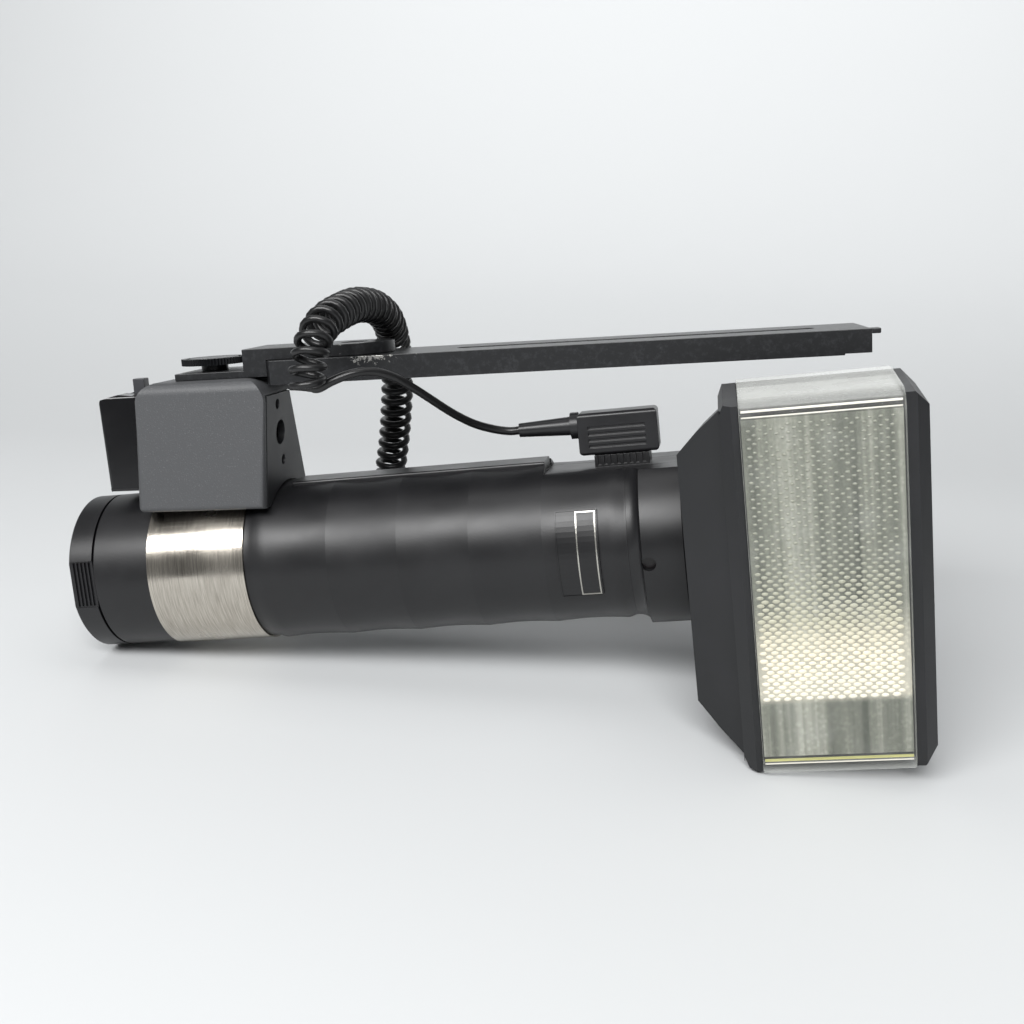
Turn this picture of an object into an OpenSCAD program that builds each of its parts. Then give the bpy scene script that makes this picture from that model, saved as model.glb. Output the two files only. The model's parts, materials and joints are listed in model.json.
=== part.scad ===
// Handle mount flash lying on its side: handle with batteries, swivel and tilt head with a clear
// window, clamped side bracket with a camera rail, and a curly sync cord.
// Inside the modules x runs along the handle from the cap to the head, -y is the window side and
// z points to the bracket. lying() then sets the whole flash down on its cap and its head.

/* [Handle] */
// Outer radius of the grip at its finger ridges
grip_r = 23.8; // [21:0.1:26]
// Outer radius of the plain tail of the handle
tail_r = 23.1; // [20.8:0.1:25]
// Radius of the battery bore
bore_r = 20.4; // [19.6:0.1:20.6]
// Where the handle shell starts behind the battery cap
tail_u = 7.8; // [6:0.1:10]
// Where the moulded grip starts
grip_u = 58.8; // [57:0.1:62]
// Number of finger hollows
hollow_count = 5; // [4:1:6]
// Length of one finger hollow
hollow_len = 20.6; // [19:0.1:21.5]
// Depth of a finger hollow
hollow_depth = 0.5; // [0.2:0.1:1.2]
// Radius of the groove at the neck
neck_r = 23.1; // [21.5:0.1:23.4]
// Thickness of the wall between the battery bore and the electronics
bulkhead_t = 2; // [1.5:0.1:4]
// Depth of the battery bore from the tail
bore_depth = 118; // [112:0.5:126]

/* [Collar] */
// Outer radius of the sensor collar
collar_r = 25.7; // [24.6:0.1:28]
// Length of the sensor collar with its flare
collar_len = 15.5; // [14:0.1:20]
// Length of the flare at the neck
flare_len = 3.8; // [2:0.1:5]
// Distance of the sensor hole from the neck
sensor_u = 5.4; // [5:0.1:8]
// Radius of the sensor hole
sensor_r = 2; // [1.2:0.1:3]
// Wall of the collar
collar_wall = 6.4; // [6:0.1:7]

/* [Side strip] */
// Half width of the flat strip on the bracket side
strip_half = 6; // [5.6:0.1:8]
// Height of the strip's face above the handle's axis
strip_top = 23.8; // [22.6:0.1:24.2]
// Height of the seat that the strip lies on
strip_seat = 21.2; // [21:0.1:21.8]
// Where the strip starts
strip_u = 66; // [64:0.5:80]
// Where the strip ends and the socket panel starts
panel_u = 141.6; // [136:0.1:146]
// Height of the flat panel round the socket above the handle's axis
panel_top = 20.9; // [20:0.1:21.4]
// Thickness of the socket panel's plate
panel_plate = 1.2; // [0.8:0.1:1.6]
// Wall of the sleeve that carries the collar
sleeve_wall = 1.9; // [1.4:0.1:3]

/* [Battery cap and batteries] */
// Outer radius of the battery cap
cap_r = 23.1; // [21.5:0.1:24.5]
// Length of the cap's visible ring
cap_len = 7.4; // [6:0.1:7.4]
// Distance of the cap's flat thumb pad from the axis
cap_pad = 21.6; // [20.8:0.1:22.4]
// Half width of the thumb pad
pad_half = 6.9; // [4:0.1:7.6]
// Number of grooves in the thumb pad
pad_grooves = 5; // [3:1:6]
// Depth of the grooves in the thumb pad
pad_groove_depth = 0.7; // [0.3:0.1:1]
// Radius of one battery cell
cell_r = 7.1; // [6.9:0.05:7.2]
// Length of one battery cell
cell_len = 50.3; // [49:0.1:50.5]
// Radius of the circle that the cells stand on
cell_circle = 11.2; // [9:0.1:12.6]
// Thickness of the basket's end discs
disc_t = 1.6; // [1:0.1:1.8]
// Outer radius of the basket's discs
disc_r = 20.1; // [19.4:0.1:20.2]

/* [Clamp band] */
// Where the steel band starts
band_u = 25; // [22:0.1:27]
// Width of the steel band
band_w = 29.5; // [24:0.1:31]
// Thickness of the steel band
band_t = 0.8; // [0.5:0.1:1.2]
// Depth of the band's seat in the handle
band_seat = 0.35; // [0.2:0.05:0.6]

/* [Bracket block] */
// Angle that the bracket is turned round the handle
clamp_turn = 7.5; // [0:0.5:15]
// Angle that the bracket leans towards the head
bracket_lean = 2.5; // [0:0.1:2.5]
// Place of the bracket's middle along the handle
bracket_u = 42; // [40:0.1:43]
// Width of the block along the handle
block_w = 38.6; // [34:0.1:40]
// How far the block's top stands further to the head than its bottom
block_skew = 3.4; // [0:0.1:4]
// Height of the block's bottom edges above the axis
block_bottom = 19.4; // [17:0.1:21]
// Height of the block's top above the axis
block_top = 56.6; // [54:0.1:58]
// Distance of the block's front face from the axis
block_front = 20.3; // [18:0.1:21]
// Distance of the block's rear face from the axis
block_rear = 11; // [10.6:0.1:14]
// Distance of the block's rear face from the axis at its top
block_rear_top = 5; // [3:0.1:11]
// Slant of the side plate's row of holes
hole_slant = 16; // [0:1:20]
// Rounding of the block's top corners
block_round = 6.5; // [3:0.1:8]
// Rounding of the block's front edges
block_edge = 3.6; // [2:0.1:5]
// Wall of the moulded cover
cover_wall = 2.2; // [1.6:0.1:3]
// Thickness of the pierced side plate
side_plate_t = 2; // [1.5:0.1:3]
// Radius of the accessory hole in the side plate
socket_hole_r = 3.6; // [3:0.1:4.2]
// Radius of the two locating holes
locating_hole_r = 1.5; // [1:0.1:2]
// Distance of the locating holes from the accessory hole
locating_pitch = 8.8; // [8:0.1:11]
// Height of the accessory hole above the axis
socket_hole_w = 40; // [38:0.1:41]
// Place of the side plate's holes in front of the axis
socket_hole_v = 6.7; // [0:0.1:9]

/* [Release lever] */
// Thickness of the release lever at its foot
lever_t = 11.4; // [9:0.1:13]
// How much thicker the lever is at its top
lever_lean = 1.1; // [0:0.1:5]
// Width of the release lever
lever_w = 22; // [16:0.1:24]
// Height of the release lever
lever_h = 28.6; // [22:0.1:30]
// Height of the lever's top above the axis
lever_top = 53.2; // [50:0.1:54]
// Radius of the lever's hinge pin
lever_pin_r = 1.25; // [1:0.05:1.5]
// Side of the square locking button
button_side = 3.6; // [3:0.1:4]
// Height of the locking button above its bracket
button_h = 5.7; // [3:0.1:8]

/* [Clamp knob] */
// Radius of the knurled clamp knob
knob_r = 9.4; // [8:0.1:10.4]
// Thickness of the knurled disc
knob_t = 1.9; // [1.5:0.1:3]
// Number of knurls round the knob
knurl_count = 64; // [32:2:80]
// Depth of the knurls
knurl_depth = 0.45; // [0.2:0.05:0.6]
// Radius of the knob's screw
knob_screw_r = 2.75; // [2:0.05:3.2]
// Gap under the knurled disc
knob_gap = 1.8; // [0.5:0.1:2.4]
// Place of the knob in front of the handle's axis
knob_v = 4.5; // [3:0.1:5]
// Place of the knob along the bracket
knob_u = 2.3; // [0:0.1:3]

/* [Arm and rail] */
// Angle that the arm and rail are swung towards the rear
arm_swing = 2.4; // [0:0.1:3]
// Width of the arm
arm_w = 23; // [20:0.1:24]
// Thickness of the arm's tongue under the knob
tongue_t = 2; // [1.8:0.1:3]
// Length of the tongue behind the knob
tongue_back = 8; // [6:0.1:10]
// Distance from the knob to the arm's shoulder
shoulder_x = 12.4; // [10.6:0.1:13]
// Height of the arm's top above the axis
arm_top = 64.6; // [63.8:0.1:66]
// Thickness of the arm where it laps over the rail
lap_t = 3.3; // [2.5:0.1:4]
// Distance from the knob to the lap joint
pivot_x = 42.4; // [40:0.1:46]
// Radius of the lap joint's pin
pivot_r = 4; // [3:0.1:5]
// Width of the rail
rail_w = 33.3; // [28:0.1:36]
// Thickness of the rail
rail_t = 6.7; // [5:0.1:6.8]
// Length of the rail
rail_len = 165; // [150:0.1:168]
// Distance from the knob to the rail's near end
rail_x = 20; // [20:0.1:23]
// Shift of the rail towards the rear of the arm
rail_shift = 1; // [0:0.1:2]
// Cut at the rail's corners
rail_corner = 2.2; // [1:0.1:5]
// Width of the slot in the rail
slot_w = 6.6; // [6.4:0.1:8]
// Distance from the rail's near end to its slot
slot_x = 52; // [45:1:60]
// Length of the slot
slot_len = 100; // [60:1:104]

/* [Head] */
// Half width of the head across the handle
head_half = 48; // [44:0.1:48.4]
// Distance of the head's rear end from the neck
head_gap = 0.5; // [0.3:0.1:0.8]
// Height of the tapered part of the head
taper_h = 11; // [8:0.1:13]
// Height of the head's straight part
rim_h = 48; // [44:0.1:52]
// Distance of the rims' faces in front of the axis
rim_front = 53; // [50:0.1:53.6]
// Distance of the head's rear face behind the axis
head_rear_v = 46.5; // [44:0.1:49]
// Half width of the tapered end of the head
taper_half = 31; // [28:0.1:34]
// Distance of the tapered end's front edge from the axis
taper_front = 40; // [34:0.1:42]
// Wall of the head's shell
head_wall = 2.2; // [1.8:0.1:3]
// Half width of the head's housing behind the rims
waist_half = 41.4; // [39:0.1:42]
// Angle by which the housing's sides draw in towards the rear
wedge_turn = 13; // [10:0.1:14]
// Rounding of the rims
rim_round = 3; // [1.5:0.1:3.4]
// Thickness of the rims beside the window
rim_t = 4.7; // [4:0.1:6]

/* [Tilt joint] */
// Distance of the tilt axis behind the handle's axis
tilt_back = 22; // [20:0.1:22.5]
// Distance of the tilt axis from the end of the collar
tilt_u = 25; // [24:0.1:27]
// Radius of the knuckle round the tilt pin
knuckle_r = 8.6; // [7:0.1:9.5]
// Half width of the tongue
tongue_half = 8.6; // [7:0.1:10]
// Clearance beside the tongue
tongue_gap = 0.5; // [0.3:0.1:0.8]
// Radius of the tilt pin
tilt_pin_r = 3; // [2.5:0.1:4]
// Radius of the swivel spigot in the collar
spigot_r = 16; // [14:0.1:17]
// Length of the swivel spigot
spigot_len = 8; // [6:0.1:9]

/* [Window and reflector] */
// Half length of the clear window across the handle
window_half = 49.3; // [47.6:0.1:50]
// Thickness of the clear window
window_t = 2.4; // [1.8:0.1:3]
// Distance of the window's face in front of the axis
window_front = 55.2; // [54.2:0.1:57]
// Depth of the window's wrapped ends
window_depth = 25.5; // [18:0.1:27]
// Rounding of the window's wrapped corners
window_round = 4.6; // [3:0.1:6]
// Thickness of the prism panel
prism_t = 1.4; // [1:0.1:2]
// Width of one vertical prism rib
prism_pitch = 2.4; // [2:0.1:4]
// Depth of the reflector
reflector_depth = 19.5; // [16:0.1:19.6]
// Thickness of the reflector's sheet
reflector_t = 0.8; // [0.5:0.1:1.2]
// Radius of the flash tube
tube_r = 2.6; // [2:0.1:3]

/* [Rear controls] */
// Radius of the calculator dial
dial_r = 10; // [8:0.1:10.4]
// Thickness of the calculator dial
dial_t = 3; // [2:0.1:4]
// Height of the control panel's plate
panel_t = 1.2; // [0.8:0.1:2]
// Radius of the ready lamp
lamp_r = 2.2; // [1.5:0.1:3]
// Radius of the test button
test_r = 3; // [2:0.1:4]
// Travel of the test button
test_travel = 1.2; // [0.6:0.1:1.6]
// Length of the main switch's cap
switch_len = 7; // [5:0.1:9]
// Width of the main switch's cap
switch_w = 4.4; // [3:0.1:5]
// Travel of the main switch
switch_travel = 4; // [2:0.1:5]

/* [Plug and cord] */
// Length of the plug's body
plug_len = 22.5; // [18:0.1:24]
// Height of the plug's body
plug_h = 12; // [8:0.1:13]
// Width of the plug's body
plug_w = 9; // [7:0.1:12]
// Length of the plug's strain relief
relief_len = 17.2; // [12:0.1:18]
// Radius of the strain relief at the plug
relief_r = 2.8; // [2.5:0.1:3.4]
// Radius of the strain relief at its tip
relief_tip_r = 2; // [1.8:0.1:2.4]
// Diameter of the cord
cord_d = 2.4; // [2.2:0.1:2.6]
// Outer radius of the curly cord
curl_r = 5.1; // [4.6:0.1:5.2]
// Diameter of the cord where it is curled
curl_d = 2.1; // [1.8:0.1:2.2]
// Number of curls
curl_count = 66; // [60:1:67]

/* [Hidden] */

round_fn = 72;
small_fn = 32;
eps = 0.01;
fit_gap = 0.05;
seat_gap = 0.1;

// Places along the handle
hollow_end = grip_u + hollow_count * hollow_len;
neck_u = hollow_end + 2.6;
collar_end = neck_u + collar_len;
head_u = collar_end + head_gap;
rim_u = head_u + taper_h;
head_end = rim_u + rim_h;
bore_end = tail_u + bore_depth;
waist_front_v = rim_front - 25;
strip_end = collar_end - 0.6;

// The flash rests on the lower edge of its cap and on the lower edge of its window
cap_edge = 0.6;
rest_u = rim_u + rim_t;
lie_tilt = atan((window_half - cap_r) / (rest_u - cap_edge));
waist_rear = waist_half - (head_rear_v + waist_front_v) * tan(wedge_turn);
lie_z = cap_r * cos(lie_tilt) - cap_edge * sin(lie_tilt);
lie_left = -(cap_r - cap_edge) * sin(lie_tilt);
lie_right = head_end * cos(lie_tilt) + (head_half - 4) * sin(lie_tilt);
place_x = -(lie_left + lie_right) / 2;
rear_reach = head_rear_v + panel_t + fit_gap + dial_t;
place_y = (window_front - rear_reach) / 2;

// Sets the flash down on its side
module lying() translate([place_x, place_y, lie_z]) rotate([0, -lie_tilt, 0]) children();

// The same as lying() for one point
function set_down(p) = [place_x + p.x * cos(lie_tilt) - p.z * sin(lie_tilt), place_y + p.y,
    lie_z + p.x * sin(lie_tilt) + p.z * cos(lie_tilt)];

// The bracket's own frame: x along the rail, z up through the block
module bracket_frame()
    translate([bracket_u, 0, 0]) rotate([-clamp_turn, 0, 0]) rotate([0, bracket_lean, 0]) children();

// The arm's frame, with its origin on the knob's axis
module arm_frame()
    bracket_frame() translate([knob_u, -knob_v, 0]) rotate([0, 0, arm_swing]) children();

// The head's tilt frame, with x, y and z as in the handle and the origin on the tilt axis
module tilt_frame() translate([collar_end + tilt_u, tilt_back, 0]) children();

// A body of revolution round the handle's axis, from points [radius, place along the axis]
module turned(points) rotate([0, 90, 0]) rotate_extrude($fn = round_fn) polygon(points);

// A round bar along the handle
module bar_x(r, from, to, fn = round_fn)
    translate([from, 0, 0]) rotate([0, 90, 0]) cylinder(r = r, h = to - from, $fn = fn);

// A box given by its low and its high corner
module block(low, high) translate(low) cube(high - low);

// A flat rectangle with round corners, from its low to its high corner
module round_rect(low, high, r) {
    translate([low.x + r, low.y]) square([high.x - low.x - 2 * r, high.y - low.y]);
    translate([low.x, low.y + r]) square([high.x - low.x, high.y - low.y - 2 * r]);
    for (x = [low.x + r, high.x - r], y = [low.y + r, high.y - r])
        translate([x, y]) circle(r = r, $fn = small_fn);
}

// Stands a flat outline drawn in x and z up, from one y to another
module along_y(from, to) translate([0, to, 0]) rotate([90, 0, 0]) linear_extrude(to - from) children();

// Lays a flat outline drawn in y and z along x, from one x to another
module along_x(from, to)
    translate([from, 0, 0]) rotate([90, 0, 90]) linear_extrude(to - from) children();

// Handle

hollow_steps = 8;
function hollow_points() = [
    for (i = [0 : hollow_count - 1], s = [0 : hollow_steps - 1])
        let (part = s / hollow_steps)
            [grip_r - hollow_depth * sin(180 * part), grip_u + (i + part) * hollow_len]
];
spigot_in = 6;
sleeve_r = collar_r - collar_wall - seat_gap;
room_r = sleeve_r - sleeve_wall;

// The top of the handle is turned with the bracket, a little away from the window side
module grip_frame() rotate([-clamp_turn, 0, 0]) children();

// Everything above the flat round the socket
module above_panel() grip_frame() {
    block([panel_u, -40, panel_top], [collar_end + 1, 40, 40]);
    block([panel_u, -strip_half - seat_gap, panel_top - panel_plate - fit_gap],
        [strip_end + seat_gap, strip_half + seat_gap, 40]);
}

module handle_shell() color("#26272a") difference() {
    turned(concat(
        [[bore_r, tail_u], [tail_r - 0.4, tail_u], [tail_r, tail_u + 0.4], [tail_r, band_u - seat_gap],
            [tail_r - band_seat, band_u - seat_gap], [tail_r - band_seat, band_u + band_w + seat_gap],
            [tail_r, band_u + band_w + seat_gap], [tail_r, grip_u - 2]],
        hollow_points(),
        [[grip_r, hollow_end], [neck_r, neck_u - 0.6], [neck_r, neck_u], [sleeve_r, neck_u],
            [sleeve_r, neck_u + spigot_in], [room_r, neck_u + spigot_in], [room_r, bore_end + bulkhead_t],
            [0, bore_end + bulkhead_t], [0, bore_end], [bore_r, bore_end]]));
    grip_frame() block([strip_u - seat_gap, -strip_half - seat_gap, strip_seat],
        [panel_u + eps, strip_half + seat_gap, 40]);
    above_panel();
}

module sensor_collar() color("#222326") difference() {
    turned(concat(
        [for (a = [0 : 15 : 90])
            [neck_r + (collar_r - neck_r) * (1 - cos(a)), neck_u + fit_gap + flare_len * sin(a)]],
        [[collar_r, collar_end - 0.5], [collar_r - 0.5, collar_end], [spigot_r + fit_gap, collar_end],
            [spigot_r + fit_gap, collar_end - spigot_len + 2.4],
                [collar_r - collar_wall, collar_end - spigot_len + 2.4],
            [collar_r - collar_wall, neck_u + fit_gap]]));
    above_panel();
    translate([neck_u + sensor_u, 0, 0]) rotate([90, 0, 0]) {
        cylinder(r = sensor_r, h = collar_r + 1, $fn = small_fn);
        cylinder(r = sensor_r + 1.1, h = collar_r - 2.9, $fn = small_fn);
    }
}

module photo_sensor() color("#3a2f3a")
    translate([neck_u + sensor_u, 0, 0]) rotate([90, 0, 0]) {
        translate([0, 0, collar_r - 3.2]) cylinder(r = sensor_r - fit_gap, h = 1.2, $fn = small_fn);
        translate([0, 0, collar_r - 5]) cylinder(r = sensor_r + 1, h = 1.9, $fn = small_fn);
    }

module side_strip() color("#303134") grip_frame() difference() {
    block([strip_u, -strip_half, strip_seat], [panel_u - 0.3, strip_half, strip_top]);
    for (side = [-1, 1]) translate([0, side * strip_half, strip_top]) rotate([45, 0, 0])
        cube([2 * neck_u, 0.6, 0.6], center = true);
}

socket_u = panel_u + 14;
socket_len = 15.5;
socket_half = 5;
socket_top = panel_top + 3.3;
module socket_panel() color("#2b2c2f") grip_frame() {
    block([panel_u + 0.1, -strip_half, panel_top - panel_plate], [strip_end, strip_half, panel_top]);
    difference() {
        block([socket_u, -socket_half, panel_top - eps], [socket_u + socket_len, socket_half, socket_top]);
        for (i = [0 : 7]) translate([socket_u + 1.4 + i * 1.8, -socket_half, panel_top + 0.6])
            translate([-0.45, -1, 0]) cube([0.9, 1.7, 4]);
    }
}

// Battery cap, basket and cells

pad_turn = 9;
spring_r = 3.4;
module battery_cap() color("#232427") difference() {
    union() {
        turned([[0, 0], [cap_r - cap_edge, 0], [cap_r, cap_edge], [cap_r, cap_len],
            [bore_r - 2 * seat_gap, cap_len],
            [bore_r - 2 * seat_gap, cap_len + 4], [0, cap_len + 4]]);
    }
    for (turn = [-pad_turn, 180 - pad_turn]) rotate([turn, 0, 0]) {
        block([-1, -cap_r - 1, -pad_half], [cap_len + eps, -cap_pad, pad_half]);
        for (i = [0 : pad_grooves - 1])
            translate([0.9 + (i + 0.5) * (cap_len - 1.4) / pad_grooves, -cap_pad, 0])
                cube([0.7, 2 * pad_groove_depth, 2 * pad_half - 0.8], center = true);
    }
    turned([[0, 2.4], [15.5, 2.4], [15.5, cap_len + 4 + eps], [0, cap_len + 4 + eps]]);
    block([-1, -9, -0.6], [0.8, 9, 0.6]);
}

basket_u = cap_len + 4.2;
basket_end = basket_u + 2 * cell_len + 2 * disc_t + 0.8;
module battery_basket() color("#3b3b3d") {
    difference() {
        union() {
            bar_x(disc_r, basket_u, basket_u + disc_t);
            bar_x(disc_r, basket_end - disc_t, basket_end);
            bar_x(2.6, basket_u, basket_end);
            for (turn = [0 : 120 : 240]) rotate([turn + 60, 0, 0])
                block([basket_u, -disc_r + 0.4, -3], [basket_end, -disc_r + 1.9, 3]);
        }
        for (turn = [0 : 120 : 240]) rotate([turn + 60, 0, 0])
            block([basket_u + 20, -disc_r - 1, -1.2], [basket_end - 20, -disc_r + 3, 1.2]);
    }
}

module battery_cells() color("#8d9094")
    for (turn = [0 : 120 : 240], row = [0, 1]) rotate([turn, 0, 0])
        translate([basket_u + disc_t + 0.2 + row * (cell_len + 0.2), -cell_circle, 0])
            rotate([0, 90, 0]) {
                cylinder(r = cell_r, h = cell_len - 1.2, $fn = small_fn);
                cylinder(r = 2.7, h = cell_len, $fn = small_fn);
            }

module contact_springs() color("#b9b08f")
    for (turn = [0 : 120 : 240]) rotate([turn, 0, 0]) translate([basket_end, -cell_circle, 0])
        rotate([0, 90, 0])
        cylinder(r1 = spring_r, r2 = 2, h = bore_end - basket_end - seat_gap, $fn = small_fn);

board_t = 1.6;
board_gap = 0.5;
capacitor_r = room_r - board_t - board_gap - 3.1;
board_half = sqrt(pow(room_r - board_gap, 2) - pow(capacitor_r + board_gap + board_t, 2));
module main_capacitor() color("#33415a")
    turned([[0, bore_end + bulkhead_t], [capacitor_r, bore_end + bulkhead_t], [capacitor_r, neck_u - 5],
        [capacitor_r - 1.2, neck_u - 4], [0, neck_u - 4]]);

module handle_board() color("#2f5b3c")
    block([bore_end + bulkhead_t, -board_half, capacitor_r + board_gap],
        [neck_u - 2, board_half, capacitor_r + board_gap + board_t]);

// Clamp band and bracket block

band_r = tail_r - band_seat + seat_gap;
module clamp_band() color("#b8b4aa")
    turned([[band_r, band_u], [band_r + band_t, band_u], [band_r + band_t, band_u + band_w],
        [band_r, band_u + band_w]]);

handle_clear = band_r + band_t + seat_gap;
core_gap = 0.2;
plate_lean = atan(block_skew / (block_top - block_bottom));
function arc_points(centre, r, from, to, steps = 8) = [
    for (i = [0 : steps])
        let (a = from + (to - from) * i / steps)
            centre + r * [cos(a), sin(a)]
];

// Front outline of the block, whose sides lean towards the head and whose top corners are round
module block_outline(inset = 0) {
    low = block_bottom - (inset > 0 ? 1 : 0);
    w = block_w / 2 - inset;
    r = block_round - inset;
    corner_z = block_top - inset - r;
    function side_x(side, z) = side * w + (z - block_bottom) * tan(plate_lean);
    polygon(concat(
        [[side_x(-1, low), low], [side_x(1, low), low]],
        arc_points([side_x(1, corner_z) - r / cos(plate_lean), corner_z], r, -plate_lean, 90),
        arc_points([side_x(-1, corner_z) + r / cos(plate_lean), corner_z], r, 90, 180 - plate_lean)));
}

rear_foot = 10;
rear_slope = atan((block_rear - block_rear_top) / (block_top - block_bottom - rear_foot));
module block_side(inset = 0) difference() {
    round_rect([-block_front + inset, block_bottom - 10], [block_rear - inset, block_top - inset],
        max(block_edge - inset, 0.4));
    translate([block_rear - inset / cos(rear_slope), block_bottom + rear_foot]) rotate(rear_slope)
        square([block_w, 2 * block_w]);
}

module block_form(inset = 0) intersection() {
    along_y(-block_front + inset, block_rear - inset) block_outline(inset);
    along_x(-block_w, block_w) block_side(inset);
}

module right_of_block(extra) translate([block_w / 2, 0, block_bottom]) rotate([0, plate_lean, 0])
    translate([extra, 0, 0]) children();

// The accessory hole and the two locating holes, square to the side plate and some way into the block
plate_hole_in = 8;
module plate_holes(extra)
    right_of_block(-plate_hole_in) translate([0, -socket_hole_v, socket_hole_w - block_bottom])
        rotate([hole_slant, 0, 0])
        for (step = [-1, 0, 1]) translate([0, 0, step * locating_pitch]) rotate([0, 90, 0])
            cylinder(r = (step == 0 ? socket_hole_r : locating_hole_r) + extra, h = 2 * plate_hole_in,
                $fn = small_fn);

// The room of the handle and its band under the bracket
module handle_room() {
    bar_x(handle_clear, band_u - 10, grip_u - 2);
    bar_x(grip_r + 0.15, grip_u - 2.1, band_u + band_w + 20);
}

module block_cover() color("#4a4b4d") difference() {
    bracket_frame() difference() {
        block_form();
        block_form(cover_wall);
        right_of_block(-cover_wall - 0.2)
            block([0, -block_front + cover_wall - core_gap, -5], [20, block_rear + 1, side_plate_top + core_gap]);
        translate([knob_u, -knob_v, block_top - 5]) cylinder(r = knob_screw_r + 0.6, h = 9, $fn = small_fn);
    }
    handle_room();
}

core_front = block_front - cover_wall - core_gap;
core_rear = block_rear - cover_wall - core_gap;
module clamp_saddle() color("#55575a") difference() {
    bracket_frame() difference() {
        intersection() {
            block([-block_w / 2 + cover_wall + core_gap + 2, -core_front, block_bottom],
                [block_w / 2 + block_skew, core_rear, block_top - cover_wall - core_gap]);
            block_form(cover_wall + core_gap);
        }
        translate([knob_u, -knob_v, block_bottom])
            cylinder(r = knob_screw_r + fit_gap, h = 60, $fn = small_fn);
        plate_holes(core_gap);
    }
    handle_room();
}

side_plate_edge = 1.5;
side_plate_top = socket_hole_w + locating_pitch * cos(hole_slant) + locating_hole_r + side_plate_edge -
    block_bottom;
module side_plate() color("#3d3f41") difference() {
    bracket_frame() difference() {
        right_of_block(-side_plate_t + 0.1) along_x(0, side_plate_t) polygon([
            [-core_front, 0], [block_rear + 5, 0], [block_rear + 4.7, 4],
                [block_rear - 9.7, side_plate_top],
            [-core_front, side_plate_top]]);
        plate_holes(0);
    }
    handle_room();
}

// Release lever and locking button

lever_x = -block_w / 2 - 0.4;
lever_pin_x = lever_x - 7.4;
lever_pin_z = lever_top - 4.6;
lever_v = 0.6;
ear_half = 4;
ear_r = 2.8;
function lever_shift(z) = (z - block_bottom) * block_skew / (block_top - block_bottom);
module release_lever() color("#1c1c1e") bracket_frame() difference() {
    intersection() {
        along_y(-lever_w / 2 - lever_v, lever_w / 2 - lever_v)
            polygon([[lever_x - lever_t, lever_top - lever_h],
            [lever_x, lever_top - lever_h], [lever_x + lever_shift(lever_top - 3.4), lever_top - 3.4],
            [lever_x - 1.4, lever_top - 0.5], [lever_pin_x + 1, lever_top],
            [lever_x - lever_t - lever_lean + 0.8, lever_top - 1.3],
                [lever_x - lever_t - lever_lean, lever_top - 2.3]]);
        along_x(lever_x - lever_t - lever_lean - 1, lever_x + 6)
            round_rect([-lever_w / 2 - lever_v, lever_top - lever_h - 1],
                [lever_w / 2 - lever_v, lever_top + 0.01], 1.4);
    }
    translate([lever_pin_x, 40, lever_pin_z]) rotate([90, 0, 0])
        cylinder(r = lever_pin_r + fit_gap, h = 40 + lever_w / 2 + lever_v - 3, $fn = small_fn);
    block([lever_pin_x - ear_r - 0.8, -ear_half - lever_v - 0.3, lever_pin_z - ear_r - 0.9],
        [lever_x + 5, ear_half - lever_v + 0.3, lever_top + 1]);
}

module lever_pin() color("#8a8c90") bracket_frame()
    translate([lever_pin_x, lever_w / 2 - lever_v - 0.5, lever_pin_z]) rotate([90, 0, 0])
        cylinder(r = lever_pin_r, h = lever_w - 4, $fn = small_fn);

button_x = lever_x - 3.6;
button_foot = lever_pin_z - ear_r + 1.2;
module lever_bracket() color("#4b4d50") bracket_frame() difference() {
    along_y(-ear_half - lever_v, ear_half - lever_v) {
        translate([lever_pin_x, lever_pin_z]) circle(r = ear_r, $fn = small_fn);
        translate([lever_pin_x, lever_pin_z - ear_r])
            square([lever_x + lever_shift(lever_pin_z - ear_r) + 0.35 - lever_pin_x, 2 * ear_r]);
    }
    translate([lever_pin_x, 40, lever_pin_z]) rotate([90, 0, 0])
        cylinder(r = lever_pin_r + fit_gap, h = 80, $fn = small_fn);
    button_post(0.25, button_foot, lever_top);
}

module button_post(extra, from, to)
    block([button_x - button_side / 2 - extra, -button_side / 2 - lever_v - extra, from],
        [button_x + button_side / 2 + extra, button_side / 2 - lever_v + extra, to]);

module lock_button() color("#2f3033") bracket_frame()
    button_post(0, button_foot + 1.6, lever_pin_z + ear_r + button_h);

// Clamp knob, arm and rail

tongue_z = block_top + fit_gap;
knob_z = tongue_z + tongue_t + knob_gap;
function knurl_points() = [
    for (i = [0 : knurl_count - 1], tip = [0, 1])
        let (r = tip == 1 ? knob_r : knob_r - knurl_depth, a = (i + tip / 2) * 360 / knurl_count)
            [r * cos(a), r * sin(a)]
];
module clamp_knob() color("#2d2e30") arm_frame() {
    difference() {
        translate([0, 0, knob_z]) linear_extrude(knob_t) polygon(knurl_points());
        translate([0, 0, knob_z + knob_t]) rotate_extrude($fn = round_fn)
            polygon([[knob_r - 2.4, 0.01], [knob_r - 2.1, -0.5], [knob_r - 1.3, -0.5], [knob_r - 1, 0.01]]);
    }
    translate([0, 0, knob_z - knob_gap + seat_gap])
        cylinder(r = knob_screw_r + 1.1, h = knob_gap, $fn = small_fn);
    translate([0, 0, socket_hole_w + 6])
        cylinder(r = knob_screw_r, h = knob_z - socket_hole_w - 5, $fn = small_fn);
}

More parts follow.
